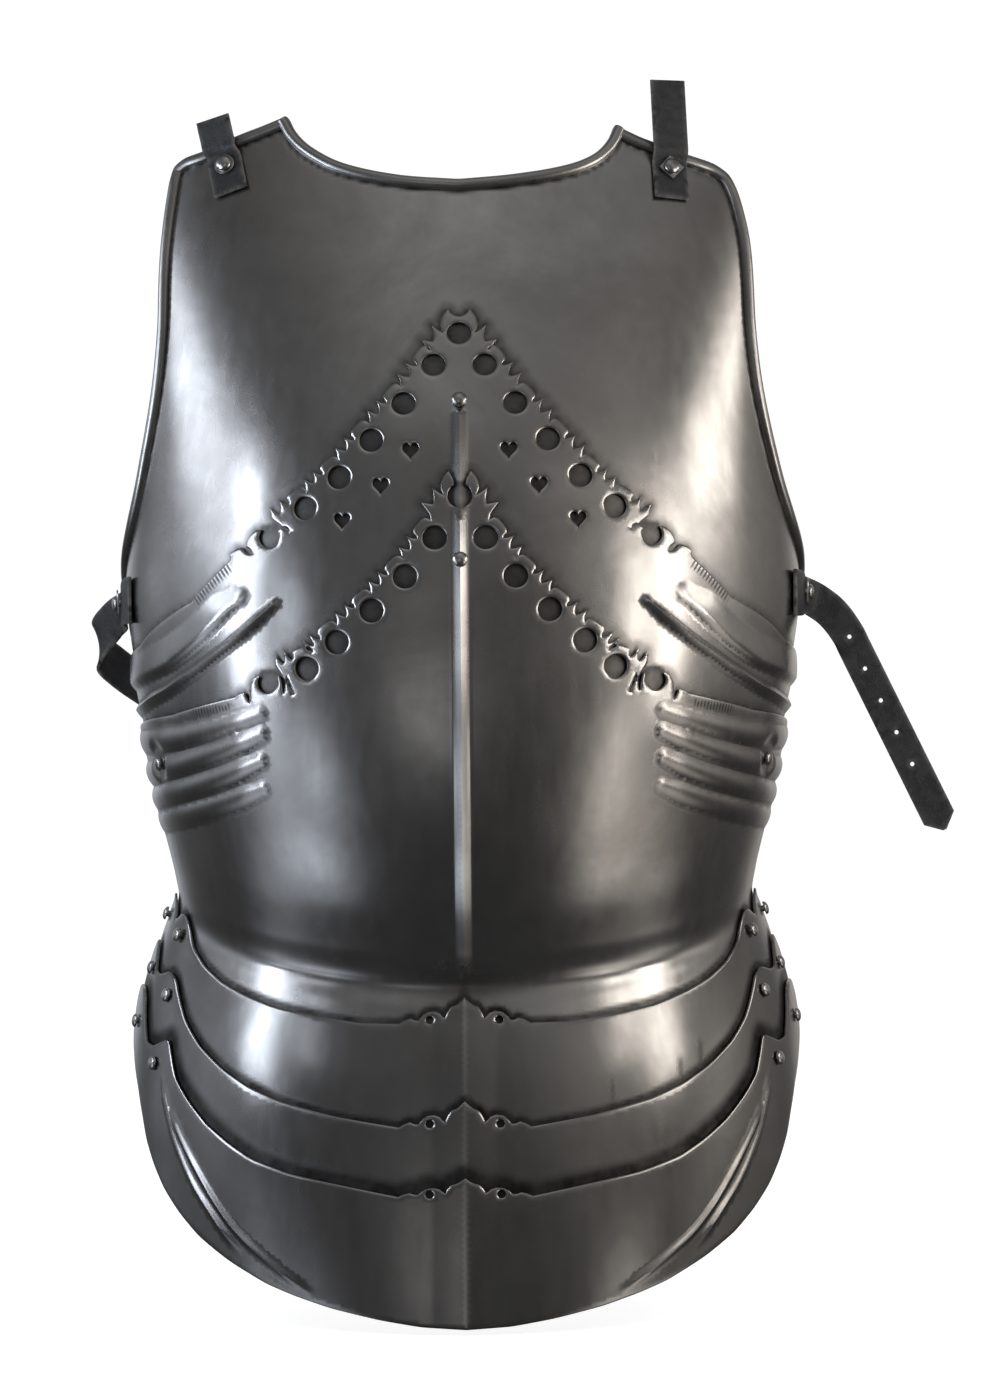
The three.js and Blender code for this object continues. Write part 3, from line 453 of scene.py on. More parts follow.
def trimmed_triangles(loops, creases, spacing, edge_depths):
    """Triangles that fill the loops: a grid of even triangles, rings along edges, points on creases."""
    grid = even_grid(loops, spacing)
    clear = distance_to_lines(grid, loops, closed=True) > max(edge_depths) + spacing * 0.45
    grid = grid[clear]
    lines = []
    for crease in creases:
        points = spaced(crease, spacing * 0.8)
        keep = inside(points, loops)
        keep &= distance_to_lines(points, loops, closed=True) > max(edge_depths) * 0.7
        lines.append((points, keep))
    rings = rings_inside(loops, edge_depths)
    if lines:
        everywhere = [line for line, _keep in lines]
        grid = grid[distance_to_lines(grid, everywhere) > spacing * 0.45]
        rings = rings[distance_to_lines(rings, everywhere) > 0.2]
    points = [*loops, rings, grid]
    edges = []
    total = sum(len(part) for part in points)
    first = 0
    for loop in loops:
        index = first + np.arange(len(loop))
        edges.append(np.stack([index, np.roll(index, -1)], -1))
        first += len(loop)
    for line, keep in lines:
        points.append(line[keep])
        index = np.cumsum(keep) - 1 + total
        joined = keep[:-1] & keep[1:]
        edges.append(np.stack([index[:-1][joined], index[1:][joined]], -1))
        total += int(keep.sum())
    return filled(np.concatenate(points), np.concatenate(edges), loops)


def open_edges(triangles):
    """Directed edges that only one triangle has."""
    pairs = np.concatenate([triangles[:, [0, 1]], triangles[:, [1, 2]], triangles[:, [2, 0]]])
    size = int(triangles.max()) + 1
    key = pairs[:, 0] * size + pairs[:, 1]
    back = pairs[:, 1] * size + pairs[:, 0]
    return pairs[~np.isin(key, back)]


def sheet_faces(triangles, count):
    """Front triangles, back triangles turned round, and a wall quad on every open edge."""
    rim = open_edges(triangles)
    walls = np.stack([rim[:, 1], rim[:, 0], rim[:, 0] + count, rim[:, 1] + count], -1)
    return [triangles, triangles[:, ::-1] + count, walls]


# ---------------------------------------------------------------- meshes


def put_mesh(name, points, faces, finish, sharp=35, fields=None, uv=None):
    """A mesh object at the origin from points in millimetres and arrays of faces, shaded smooth."""
    mesh = bpy.data.meshes.new(name)
    faces = [np.asarray(part, int) for part in faces if len(part)]
    corners = np.concatenate([part.ravel() for part in faces])
    sizes = np.concatenate([np.full(len(part), part.shape[1]) for part in faces])
    mesh.vertices.add(len(points))
    mesh.vertices.foreach_set("co", (np.asarray(points) * 0.001).astype(np.float32).ravel())
    mesh.loops.add(len(corners))
    mesh.loops.foreach_set("vertex_index", corners.astype(np.int32))
    mesh.polygons.add(len(sizes))
    mesh.polygons.foreach_set("loop_start", (np.cumsum(sizes) - sizes).astype(np.int32))
    mesh.update(calc_edges=True)
    mesh.validate()
    mesh.polygons.foreach_set("use_smooth", np.ones(len(mesh.polygons), bool))
    mesh.set_sharp_from_angle(angle=sharp * DEGREE)
    for key, values in (fields or {}).items():
        layer = mesh.attributes.new(key, "FLOAT", "POINT")
        layer.data.foreach_set("value", np.asarray(values, np.float32).ravel())
    if uv is not None:
        layer = mesh.uv_layers.new(name="layout")
        layer.data.foreach_set("uv", np.asarray(uv, np.float32)[corners].ravel())
    mesh.materials.append(finish)
    piece = bpy.data.objects.new(name, mesh)
    bpy.context.scene.collection.objects.link(piece)
    return piece


def capped_tube(at, first_pole, last_pole):
    """Quads between neighbouring rings of point numbers, and triangles from both end rings to a pole."""
    count = at.shape[1]
    after = np.roll(at, -1, axis=1)
    quads = np.stack([at[:-1], after[:-1], after[1:], at[1:]], -1).reshape(-1, 4)
    start = np.stack([np.full(count, first_pole), after[0], at[0]], -1)
    end = np.stack([np.full(count, last_pole), at[-1], after[-1]], -1)
    return [quads, np.concatenate([start, end])]


def lathed(profile, sides):
    """A profile of (radius, height) pairs turned about the axis; its first and last points lie on it."""
    profile = np.asarray(profile, float)
    rings = profile[1:-1]
    body = np.concatenate([rings[:, None, :1] * circle(turns(sides))[None],
                           np.repeat(rings[:, None, 1:], sides, 1)], -1).reshape(-1, 3)
    points = np.concatenate([[[0, 0, profile[0, 1]]], body, [[0, 0, profile[-1, 1]]]])
    at = 1 + np.arange(len(rings) * sides).reshape(len(rings), sides)
    return points, capped_tube(at, 0, len(points) - 1)


def carried(path, sides, ups, rings):
    """A ring of (side, up) pairs for each point of a path, set on the path, with capped ends."""
    points = path[:, None] + sides[:, None] * rings[..., :1] + ups[:, None] * rings[..., 1:]
    at = np.arange(rings.shape[0] * rings.shape[1]).reshape(rings.shape[:2])
    points = points.reshape(-1, 3)
    middle = len(points)
    points = np.concatenate([points, [points[at[0]].mean(0), points[at[-1]].mean(0)]])
    return points, capped_tube(at, middle, middle + 1)


def merged(parts):
    """Several (points, faces) parts as one."""
    points = []
    faces = []
    first = 0
    for part_points, part_faces in parts:
        points.append(part_points)
        faces.extend(part + first for part in part_faces)
        first += len(part_points)
    return np.concatenate(points), faces


def along(axis, foot, points):
    """Points about +Z moved to a line: +Z becomes the axis, the origin its foot."""
    axis = np.asarray(axis, float)
    side = unit(np.cross((0.0, 0.0, 1.0), axis))
    up = np.cross(axis, side)
    return foot + points[:, :1] * side + points[:, 1:2] * up + points[:, 2:] * axis


# ---------------------------------------------------------------- finishes


def settings():
    """The scene's plate and finish settings."""
    scene = bpy.context.scene
    return scene.breastplate_plates, scene.breastplate_finish


class Finish:
    """A material with a Principled shader and short calls for the nodes that the finishes share."""

    def __init__(self, name, **fixed):
        self.material = bpy.data.materials.new(name)
        self.material.use_nodes = True
        self.tree = self.material.node_tree
        self.tree.nodes.clear()
        out = self.tree.nodes.new("ShaderNodeOutputMaterial")
        self.shader = self.tree.nodes.new("ShaderNodeBsdfPrincipled")
        self.tree.links.new(self.shader.outputs[0], out.inputs["Surface"])
        for socket, value in fixed.items():
            self.shader.inputs[socket.replace("_", " ")].default_value = value
        self.place = self.add("ShaderNodeTexCoord").outputs["Object"]

    def add(self, kind, **inputs):
        """A node of that kind with its inputs set or linked."""
        node = self.tree.nodes.new(kind)
        for socket, value in inputs.items():
            self.set(node.inputs[socket.replace("_", " ")], value)
        return node

    def set(self, socket, value):
        """Links a socket to an output, or gives it a value."""
        if isinstance(value, bpy.types.NodeSocket):
            self.tree.links.new(value, socket)
        elif socket.type == "RGBA" and len(value) == 3:
            socket.default_value = (*value, 1.0)
        else:
            socket.default_value = value

    def stretched(self, scale, turn):
        """The object's own coordinates, turned and scaled."""
        return self.add("ShaderNodeMapping", Vector=self.place, Scale=scale, Rotation=turn).outputs[0]

    def noise(self, scale, detail, where=None, distortion=0.0, roughness=0.5):
        """Cloudy values about a half."""
        node = self.add("ShaderNodeTexNoise", Vector=where or self.place, Scale=scale, Detail=detail,
                        Distortion=distortion, Roughness=roughness)
        return node.outputs["Fac"]

    def field(self, name):
        """A value that the mesh carries at each point."""
        node = self.add("ShaderNodeAttribute")
        node.attribute_name = name
        return node.outputs["Fac"]

    def spread(self, value, low, high, to_low=0.0, to_high=1.0):
        """Low to high made into to_low to to_high, and held at both ends."""
        node = self.add("ShaderNodeMapRange")
        for index, number in enumerate((value, low, high, to_low, to_high)):
            self.set(node.inputs[index], number)
        return node.outputs[0]

    def maths(self, operation, a, b=0.0):
        """One sum of two values."""
        node = self.add("ShaderNodeMath")
        node.operation = operation
        self.set(node.inputs[0], a)
        self.set(node.inputs[1], b)
        return node.outputs[0]

    def blend(self, share, first, second):
        """A colour between two others."""
        node = self.add("ShaderNodeMix")
        node.data_type = "RGBA"
        self.set(node.inputs["Factor"], share)
        self.set(node.inputs[6], first)
        self.set(node.inputs[7], second)
        return node.outputs[2]

    def bumps(self, *layers):
        """Each layer: height, strength, distance in metres. Later layers lie on earlier ones."""
        normal = None
        for height, strength, distance in layers:
            node = self.add("ShaderNodeBump", Height=height, Strength=strength, Distance=distance)
            if normal is not None:
                self.set(node.inputs["Normal"], normal)
            normal = node.outputs[0]
        self.set(self.shader.inputs["Normal"], normal)


def steel_finish(name, shade=1.0):
    """Satin polished steel: cloudy patina, fine polishing marks, bright edges and crests that are partly
    rubbed wear and partly a painted highlight, and dark recesses that are painted shade, with stains and file
    strokes in the same dark colour.
    """
    _plates, finish = settings()
    steel = Finish(name, Metallic=1.0, Anisotropic=0.0)
    cloud = steel.spread(steel.noise(11, 5, distortion=0.6, roughness=0.6), 0.36, 0.66)
    mottle = steel.spread(steel.noise(75, 4, roughness=0.65), 0.3, 0.7)
    streaks = steel.noise(1.0, 4, where=steel.stretched((160, 160, 40), (0.2, 0.1, 0.3)))
    hairs = steel.noise(1.0, 3, where=steel.stretched((1500, 900, 240), (0.5, 0.3, 0.9)))
    clean = tuple(c * shade for c in finish.steel)
    dull = tuple(c * shade for c in finish.patina)
    colour = steel.blend(cloud, clean, dull)
    colour = steel.blend(steel.spread(mottle, 0.0, 1.0, 0.0, 0.16), colour, (0.24, 0.225, 0.215))
    # Edges and crests are brightened towards the worn colour: partly rubbed wear, partly a painted highlight.
    wear_and_sheen = steel.field("wear_and_sheen")
    # Darkening from the mesh: painted shade in recesses, beside overlapping edges and under holes, with real
    # stains and drips; the file strokes join it below.
    grime_and_shade = steel.field("grime_and_shade")
    dirt_and_shade = steel.maths("MULTIPLY", grime_and_shade, steel.spread(mottle, 0.0, 1.0, 1.0, 0.7))
    wave = steel.maths("SINE", steel.maths("MULTIPLY", steel.field("stroke_place"), 2 * math.pi / 2.2))
    strokes = steel.maths("MULTIPLY", steel.field("strokes"), steel.spread(wave, -0.6, 0.7, 1.0, 0.0))
    dirt_and_shade = steel.maths("MAXIMUM", dirt_and_shade, steel.maths("MULTIPLY", strokes, 0.8))
    colour = steel.blend(wear_and_sheen, colour, tuple(finish.worn_and_sheen))
    # Near-black colour of the painted shade, the stains and the file strokes.
    colour = steel.blend(dirt_and_shade, colour, (0.02, 0.018, 0.017))
    rough = steel.spread(cloud, 0.0, 1.0, finish.roughness, finish.roughness + 0.06)
    rough = steel.maths("ADD", rough, steel.spread(streaks, 0.3, 0.7, -0.02, 0.03))
    rough = steel.maths("SUBTRACT", rough, steel.maths("MULTIPLY", wear_and_sheen, 0.06))
    rough = steel.maths("ADD", rough, steel.maths("MULTIPLY", dirt_and_shade, 0.25))
    steel.set(steel.shader.inputs["Base Color"], colour)
    steel.set(steel.shader.inputs["Roughness"], rough)
    hammer = steel.noise(28, 2)
    steel.bumps((hammer, 0.1, 0.003), (hairs, 0.03, 0.0002), (strokes, -0.6, 0.0006))
    return steel.material


def bright_finish(name):
    """Bright, smooth steel of the rivet heads and washers, with a little tarnish."""
    steel = Finish(name, Metallic=1.0)
    cloud = steel.spread(steel.noise(60, 4), 0.35, 0.65)
    hairs = steel.noise(1.0, 3, where=steel.stretched((1400, 1400, 500), (0.4, 0.2, 0.1)))
    colour = steel.blend(cloud, (0.62, 0.61, 0.6), (0.45, 0.44, 0.43))
    steel.set(steel.shader.inputs["Base Color"], colour)
    steel.set(steel.shader.inputs["Roughness"], steel.spread(hairs, 0.3, 0.7, 0.2, 0.3))
    steel.bumps((hairs, 0.05, 0.0003),)
    return steel.material


def roll_finish(name):
    """Satin steel of the rolled borders: soft clouds, little shine."""
    steel = Finish(name, Metallic=1.0)
    cloud = steel.spread(steel.noise(22, 4), 0.35, 0.65)
    hairs = steel.noise(1.0, 3, where=steel.stretched((900, 900, 300), (0.4, 0.2, 0.1)))
    steel.set(steel.shader.inputs["Base Color"], steel.blend(cloud, (0.5, 0.49, 0.48), (0.33, 0.32, 0.31)))
    steel.set(steel.shader.inputs["Roughness"], steel.spread(hairs, 0.3, 0.7, 0.27, 0.36))
    steel.bumps((cloud, 0.05, 0.001),)
    return steel.material


def leather_finish(name):
    """Black strap leather: pebbled grain, long creases, grey edges that are partly dry wear and partly a
    painted highlight.
    """
    _plates, finish = settings()
    hide = Finish(name, Specular_IOR_Level=0.42)
    cells = hide.add("ShaderNodeTexVoronoi", Vector=hide.place, Scale=950.0, Randomness=1.0)
    grain = cells.outputs["Distance"]
    creases = hide.noise(140, 5, distortion=0.8, roughness=0.6)
    # The grey edge band is partly dry wear, partly a painted highlight.
    wear_and_sheen = hide.maths("MULTIPLY", hide.field("wear_and_sheen"), hide.spread(creases, 0.35, 0.6))
    colour = hide.blend(hide.spread(creases, 0.35, 0.7), tuple(finish.leather), (0.027, 0.027, 0.029))
    colour = hide.blend(wear_and_sheen, colour, (0.12, 0.115, 0.11))
    hide.set(hide.shader.inputs["Base Color"], colour)
    hide.set(hide.shader.inputs["Roughness"], hide.spread(creases, 0.3, 0.7, 0.42, 0.62))
    hide.bumps((creases, 0.3, 0.0006), (grain, 0.45, 0.0003))
    return hide.material


def finish_named(name, maker, **options):
    """The material of that name, made once."""
    found = bpy.data.materials.get(name)
    return found or maker(name, **options)


# ---------------------------------------------------------------- plates on the torso


# The filed edge drops within RIM of the outline; rings of points lie at RIM_RINGS from it.
RIM = 1.1
RIM_RINGS = (0.45, RIM)


def file_strokes(plan, line):
    """Fields of a row of file strokes beside a line: how strongly marked, and how far along the line."""
    points = np.abs(plan * (1, 0)) + plan * (0, 1)
    start, end = np.asarray(line, float)
    length = np.linalg.norm(end - start)
    ahead = (end - start) / length
    along_line = (points - start) @ ahead
    beside = (points - start) @ np.array([ahead[1], -ahead[0]])
    mask = smooth_step((along_line + 1) / 3) * smooth_step((length - along_line) / 4)
    return mask * smooth_step((beside - 0.2) / 0.8) * smooth_step((6.4 - beside) / 2.2), along_line


def plate_sheet(name, loops, layer, relief, finish, creases=(), spacing=2.0, recess=(), marks=None,
                filed=None, worn_and_sheen=()):
    """A plate: its layout filled, raised to its layer plus the relief, with a filed round edge.

    Outer height is layer top + relief - edge round * (1 - depth / RIM)^2 near an edge, and the
    inner face is the layer's foot plus the same relief.
    """
    plates, _finish = settings()
    spacing = spacing * plates.fineness * 1.0
    plan, triangles = trimmed_triangles(loops, creases, spacing, RIM_RINGS)
    theta = plan[:, 0] / ARC
    z = plan[:, 1]
    depth = distance_to_lines(plan, loops, closed=True)
    raised = relief(theta, z)
    drop = plates.edge_round * np.maximum(0, 1 - depth / RIM) ** 2
    foot, top = layer
    outer = torso(theta, z, top + raised - drop)
    inner = torso(theta, z, foot + raised)
    # A bright band along every edge and along the given crests: partly rubbed wear, partly a painted
    # highlight.
    wear_and_sheen = 0.32 * np.exp(-(depth / 0.45) ** 2)
    if worn_and_sheen:
        crest = np.exp(-(distance_to_lines(plan, worn_and_sheen) / 0.7) ** 2) * smooth_step((raised - 0.5) / 1.2)
        wear_and_sheen = np.maximum(wear_and_sheen, 0.3 * crest)
    # Darkening: painted shadow along the recess lines, where another plate's edge lies over this one or a
    # flute meets the plate, then the marks; the inside face gets a flat 0.25.
    grime_and_shade = np.zeros(len(plan))
    for lines, reach, amount in recess:
        grime_and_shade = np.maximum(grime_and_shade, amount * smooth_step(1.5 - distance_to_lines(plan, lines) / reach))
    if marks is not None:
        grime_and_shade = np.maximum(grime_and_shade, marks(torso(theta, z, 0.0)[:, 0], z))
    points = np.concatenate([outer, inner])
    fields = {"wear_and_sheen": np.concatenate([wear_and_sheen, 0 * wear_and_sheen]), "grime_and_shade": np.concatenate([grime_and_shade, 0.25 + 0 * grime_and_shade])}
    if filed is not None:
        strokes, distance = file_strokes(plan, filed)
        fields["strokes"] = np.concatenate([strokes, 0 * strokes])
        fields["stroke_place"] = np.concatenate([distance, distance])
    return put_mesh(name, points, sheet_faces(triangles, len(plan)), finish, fields=fields,
                    uv=np.concatenate([plan, plan]) * 0.001)


def dress(piece, body, slot, *nodes):
    """Rides a finished piece on its body and hides the solids that it stands for. The slot is not used."""
    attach(piece, body)
    if nodes:
        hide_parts(*nodes)
    return piece


def shade_seen_through(holes, hearts):
    """Painted shade on the plate under a row of holes: dark to the rim, a little lighter in the middle of a
    hole.
    """
    def marks(x, z):
        """How dark the plate is at points seen from the front."""
        dark = np.zeros_like(z)
        for hx, hz in holes:
            away = np.hypot(np.abs(x) - hx, z - hz)
            shade = 0.8 + 0.15 * smooth_step((away - 2) / 4)
            dark = np.maximum(dark, shade * smooth_step((8.6 - away) / 1.5))
        for hx, hz in hearts:
            away = np.hypot(np.abs(x) - hx, z - hz)
            dark = np.maximum(dark, smooth_step((7 - away) / 1.5))
        return dark
    return marks


def both_sides(right):
    """A line from the centre to the right, joined to its mirror image on the left, left end first."""
    right = np.asarray(right, float)
    return np.concatenate([right[:0:-1] * (-1, 1), right])


def curve3(a, b, c, steps):
    """A quadratic curve from a to c, pulled towards b, without its last point."""
    t = np.linspace(0, 1, steps, endpoint=False)[:, None]
    a, b, c = (np.asarray(p, float) for p in (a, b, c))
    return (1 - t) ** 2 * a + 2 * t * (1 - t) * b + t * t * c


def true_scale(x, z):
    """Layout point of a point seen from the front, and the metal's stretch over the layout, round and up."""
    centre = on_plan(np.array([x]), np.array([z]))[0]
    theta = centre[:1] / ARC
    across = np.linalg.norm(torso(theta + 0.01, [z], 0.0) - torso(theta - 0.01, [z], 0.0)) / 0.02 / ARC
    rise = np.linalg.norm(torso(theta, [z + 1.0], 0.0) - torso(theta, [z - 1.0], 0.0)) / 2
    return centre, across, rise


def round_loop(x, z, radius, sides=28):
    """A circle on the layout about a point seen from the front, true to its size on the metal."""
    centre, across, rise = true_scale(x, z)
    return centre + radius * circle(turns(sides)) / (across, rise)


def heart_loop(x, z):
    """A small heart: two rounded shoulders above a point."""
    t = turns(36)
    wide = 4.3 * np.sin(t) ** 3
    high = 3.7 * np.cos(t) - 1.45 * np.cos(2 * t) - 0.55 * np.cos(3 * t) - 0.3 * np.cos(4 * t)
    centre, across, _rise = true_scale(x, z)
    return (centre + np.stack([wide / across, high * 1.05], -1))[::-1]


def both_at(loop_at, places, *sizes):
    """Loops at the given places seen from the front, each followed by its mirror image."""
    return [loop_at(side * x, z, *sizes) for x, z in places for side in ((1, -1) if x else (1,))]


# ---------------------------------------------------------------- gothic edge work

HOLE = 6.2
OPEN_HOLE = 5.4


def curve_chain(at, start, pieces):
    """Quadratic curves one after another; each has the point that pulls it, its end and its steps."""
    parts = []
    for pull, end, steps in pieces:
        parts.append(curve3(at(*start), at(*pull), at(*end), steps))
        start = end
    return parts


def lobes_and_flames(holes, tip_start, finish_points):
    """The edge beside a row of holes, from the centre line outward.

    Each hole has a round lobe over it; between holes stand two flames whose tips lean upward. Every
    piece is a quadratic curve in a frame of e, towards the next hole, and o, outward from the row.
    """
    parts = [tip_start]
    last = len(holes) - 1
    for k in range(1, last):
        here = np.array(holes[k], float)
        gap = np.array(holes[k + 1]) - here
        size = np.linalg.norm(gap)
        e = gap / size
        o = np.array([-e[1], e[0]])
        at = lambda u, w: here + e * u + o * w
        f1 = 5.2
        f2 = (size - 6.0 + f1) / 2
        f3 = size - 6.0
        parts += curve_chain(at, (-6.0, 6.6), [
            ((-6.4, 11.2), (-1.5, 11.0), 6),
            ((2.6, 11.6), (4.3, 9.6), 5),
            ((4.2, 7.6), (f1, 6.7), 4),
            ((f1 + 1.9, 7.8), (f1 + 2.6, 12.2), 5),
            ((f1 + 3.4, 8.0), (f2, 6.2), 6),
            ((f2 + 1.7, 7.6), (f2 + 2.6, 12.0), 5),
            ((f2 + 3.6, 8.2), (f3, 6.6), 6),
        ])
    parts.append(finish_points)
    return np.concatenate([np.asarray(part, float) for part in parts])


MIDDLE_HOLES = [(0, 294), (13, 277.3), (28.2, 257.2), (44.5, 238.3), (60.7, 219.5), (78, 204), (96.5, 189.5)]
PLACKART_HOLES = [(0, 209), (12.6, 187.6), (27.3, 168), (44, 151), (61.3, 135.2), (76.3, 122), (96, 115)]
HEARTS = [(24.7, 233), (39.7, 215), (59.2, 197.4)]
MIDDLE_SIDE = [(116.5, 178.5), (137.5, 157.5), (158, 144.8), (167, 135.7), (175.5, 128), (179, 123)]
PLACKART_SIDE = [(124.5, 105.0), (146.5, 99), (164, 95.5), (178, 92)]
MIDDLE_BOTTOM = [(0, 160), (10, 153), (20, 118), (30, 100), (45, 88), (60, 76), (75, 62), (97, 58)]
PLACKART_BOTTOM = [(0, -68), (20, -65), (40, -55), (60, -39), (73, -27.5), (85, -20), (97, -18)]
# Ends of the rows of file strokes beside the side edges, seen from the front.
MIDDLE_FILED = [(117.5, 177.6), (137.5, 157.5)]
PLACKART_FILED = [(115.0, 106.2), (137.0, 101.8)]


def horned_tip(hole, open_top):
    """The point over the first hole, or the hole itself where it is open: a horn, then two flames."""
    z = hole[1]
    start = HOLE * circle(np.linspace(-90, 62, 22) * DEGREE) if open_top else np.array([(0.0, 9.0)])
    chain = curve_chain(lambda x, up: (x, z + up), start[-1], [
        ((3.0, 9.0), (5.6, 12.6), 6),
        ((9.6, 9.2), (9.4, 4.0), 6),
        ((8.8, 1.6), (7.6, 0.2), 3),
        ((10.4, 1.2), (13.8, 4.2), 5),
        ((12.0, -1.6), (13.4, -4.4), 5),
        ((15.6, -4.0), (19.0, -3.4), 5),
        ((15.6, -8.4), (14.4, -10.0), 5),
    ])
    return np.concatenate([start[:-1] + (0, z), *chain])


def open_hole(hole, turn_from, turn_to):
    """The inside of a hole that opens upward, as the arc between two angles."""
    return hole + OPEN_HOLE * circle(np.linspace(turn_from, turn_to, 16) * DEGREE)


def middle_edge():
    """The middle plate's pierced edge, from the centre to the side."""
    hole = MIDDLE_HOLES[-1]
    at = lambda right, up: (hole[0] + right, hole[1] + up)
    end = np.concatenate([
        *curve_chain(at, (-10.6, 3.2), [((-9.6, 6.4), (-4.8, 5.6), 5)]),
        open_hole(hole, 150, 400),
        *curve_chain(at, (4.4, 4.2), [
            ((9.4, 4.6), (12.4, -4.6), 7),
            ((9.4, -5.2), (8.6, -8.4), 4),
            ((12.4, -8.6), (14.2, -5.0), 4),
            ((19.5, -5.4), (21.2, -10.0), 6),
        ]),
        MIDDLE_SIDE,
    ])
    return lobes_and_flames(MIDDLE_HOLES, horned_tip(MIDDLE_HOLES[0], False), end)


def plackart_edge():
    """The plackart's pierced edge, from the centre to the side."""
    hole = PLACKART_HOLES[-1]
    at = lambda right, up: (hole[0] + right, hole[1] + up)
    end = np.concatenate([
        [at(-13.4, -6.0), at(-9.6, 3.2), at(-8.4, -5.4)],
        *curve_chain(at, (-7.6, -5.0), [((-6.6, 4.6), (-5.0, 4.6), 5)]),
        open_hole(hole, 155, 392),
        *curve_chain(at, (4.6, 3.4), [((8.6, 2.6), (9.6, -3.4), 6)]),
        [at(9.4, -10.2), at(12.2, -5.0)],
        *curve_chain(at, (12.2, -5.0), [((16.0, -5.6), (18.0, -8.6), 4)]),
        PLACKART_SIDE,
    ])
    return lobes_and_flames(PLACKART_HOLES, horned_tip(PLACKART_HOLES[0], True), end)


def closed_loop(right, low):
    """Outline from the right halves of an upper and a lower edge on the layout, and their mirror images."""
    upper = both_sides(right)
    lower = both_sides(low)
    return spaced(np.concatenate([upper, lower[::-1], upper[:1]]), 1.6)[:-1]


def edge_on_layout(edge):
    """A pierced edge seen from the front and its mirror image, as one line on the layout."""
    return both_sides(on_plan(edge[:, 0], edge[:, 1]))


def plate_loop(edge, bottom):
    """Outline on the layout: the pierced edge and its mirror, the side edges and the hidden bottom edge."""
    right = on_plan(edge[:, 0], edge[:, 1])
    limit = SIDE_EDGE * DEGREE * ARC
    right = right[right[:, 0] < limit]
    right = np.concatenate([right, [(limit, right[-1, 1])]])
    return closed_loop(right, on_layout(bottom))


# ---------------------------------------------------------------- layers, from inside out

LAYERS = {
    "upper": (0, 1.5), "middle": (2.1, 3.6), "plackart": (4.4, 5.9),
    "lame_1": (6.8, 8.2), "lame_2": (9.1, 10.5), "lame_3": (11.4, 12.8),
}

ARM_EDGE = {
    -1: [(150, 97), (165, 96), (180, 91), (192, 85), (205, 79.5), (220, 75.5), (235, 73.2), (250, 71),
         (275, 67.8), (300, 66), (325, 65.3), (350, 64.6), (375, 64), (394, 63.5)],
    1: [(150, 97), (165, 96), (180, 91), (192, 84), (205, 77.6), (220, 72.8), (235, 70), (250, 67.7),
        (275, 64.6), (300, 63), (325, 62.3), (350, 61.3), (363, 60.2), (375, 58.8), (384, 56.8)],
}
NECK_CORNER = 0.53
UPPER_TOP = {
    -1: [(0, 378), (0.17, 381), (0.335, 388.5), (0.4, 394), (0.46, 401), (0.495, 407), (NECK_CORNER, 415),
         (0.61, 410.2), (0.7, 405.8), (0.85, 398), (0.94, 395.5), (1, 391)],
    1: [(0, 378), (0.17, 380.7), (0.342, 385.8), (0.41, 389.6), (0.461, 394.3), (0.504, 401.5),
        (NECK_CORNER, 408.3), (0.61, 402.5), (0.66, 400), (0.811, 393), (0.93, 389.3), (1, 384)],
}
UPPER_BOTTOM = [
    (0, 190), (0.11, 187), (0.187, 184), (0.253, 180), (0.306, 176), (0.347, 168), (0.464, 130),
    (0.62, 90), (0.77, 64), (1, 58),
]


def rounded_line(points, step, passes=3):
    """A line with even spacing whose corners are eased by averaging neighbours, ends kept."""
    line = spaced(points, step)
    for _ in range(passes):
        line[1:-1] = (line[:-2] + 2 * line[1:-1] + line[2:]) / 4
    return line


def edge_arc(side, share, z):
    """Layout arc at a share of the way from the centre line to the arm opening's edge."""
    table = np.array(ARM_EDGE[side], float)
    return side * share * np.interp(z, table[:, 0], table[:, 1]) * DEGREE * ARC


def neck_line(side):
    """One half of the neckline, from the centre line out to the shoulder corner."""
    share = np.linspace(0, NECK_CORNER, 60)
    table = np.array(UPPER_TOP[side], float)
    z = smooth_table(share, table[:, 0], table[:, 1])
    return np.stack([edge_arc(side, share, z), z], -1)


def shoulder_line(side):
    """The shoulder from the neck corner outward, round its corner and down the arm opening's edge."""
    table = np.array(UPPER_TOP[side], float)
    share = np.linspace(NECK_CORNER, 1, 40)
    z = np.interp(share, table[:, 0], table[:, 1])
    top = np.stack([edge_arc(side, share, z), z], -1)
    arm = np.array(ARM_EDGE[side], float)
    heights = np.linspace(table[-1, 1], 150, 110)[1:]
    angle = np.minimum(smooth_table(heights, arm[:, 0], arm[:, 1]), SIDE_EDGE)
    down = np.stack([side * angle * DEGREE * ARC, heights], -1)
    return rounded_line(np.concatenate([top, down]), 2.0, 14)


def upper_loop():
    """Outline of the upper plate on the layout."""
    share = np.linspace(0, 1, 120)
    table = np.array(UPPER_BOTTOM, float)
    z = np.interp(share, table[:, 0], table[:, 1])
    right = np.concatenate([neck_line(1), shoulder_line(1)[1:]])
    left = np.concatenate([neck_line(-1), shoulder_line(-1)[1:]])
    low_right = np.stack([edge_arc(1, share, z), z], -1)
    low_left = np.stack([edge_arc(-1, share, z), z], -1)
    outline = np.concatenate([right, low_right[::-1], low_left[1:], left[::-1]])
    return spaced(outline, 2.0)[:-1]


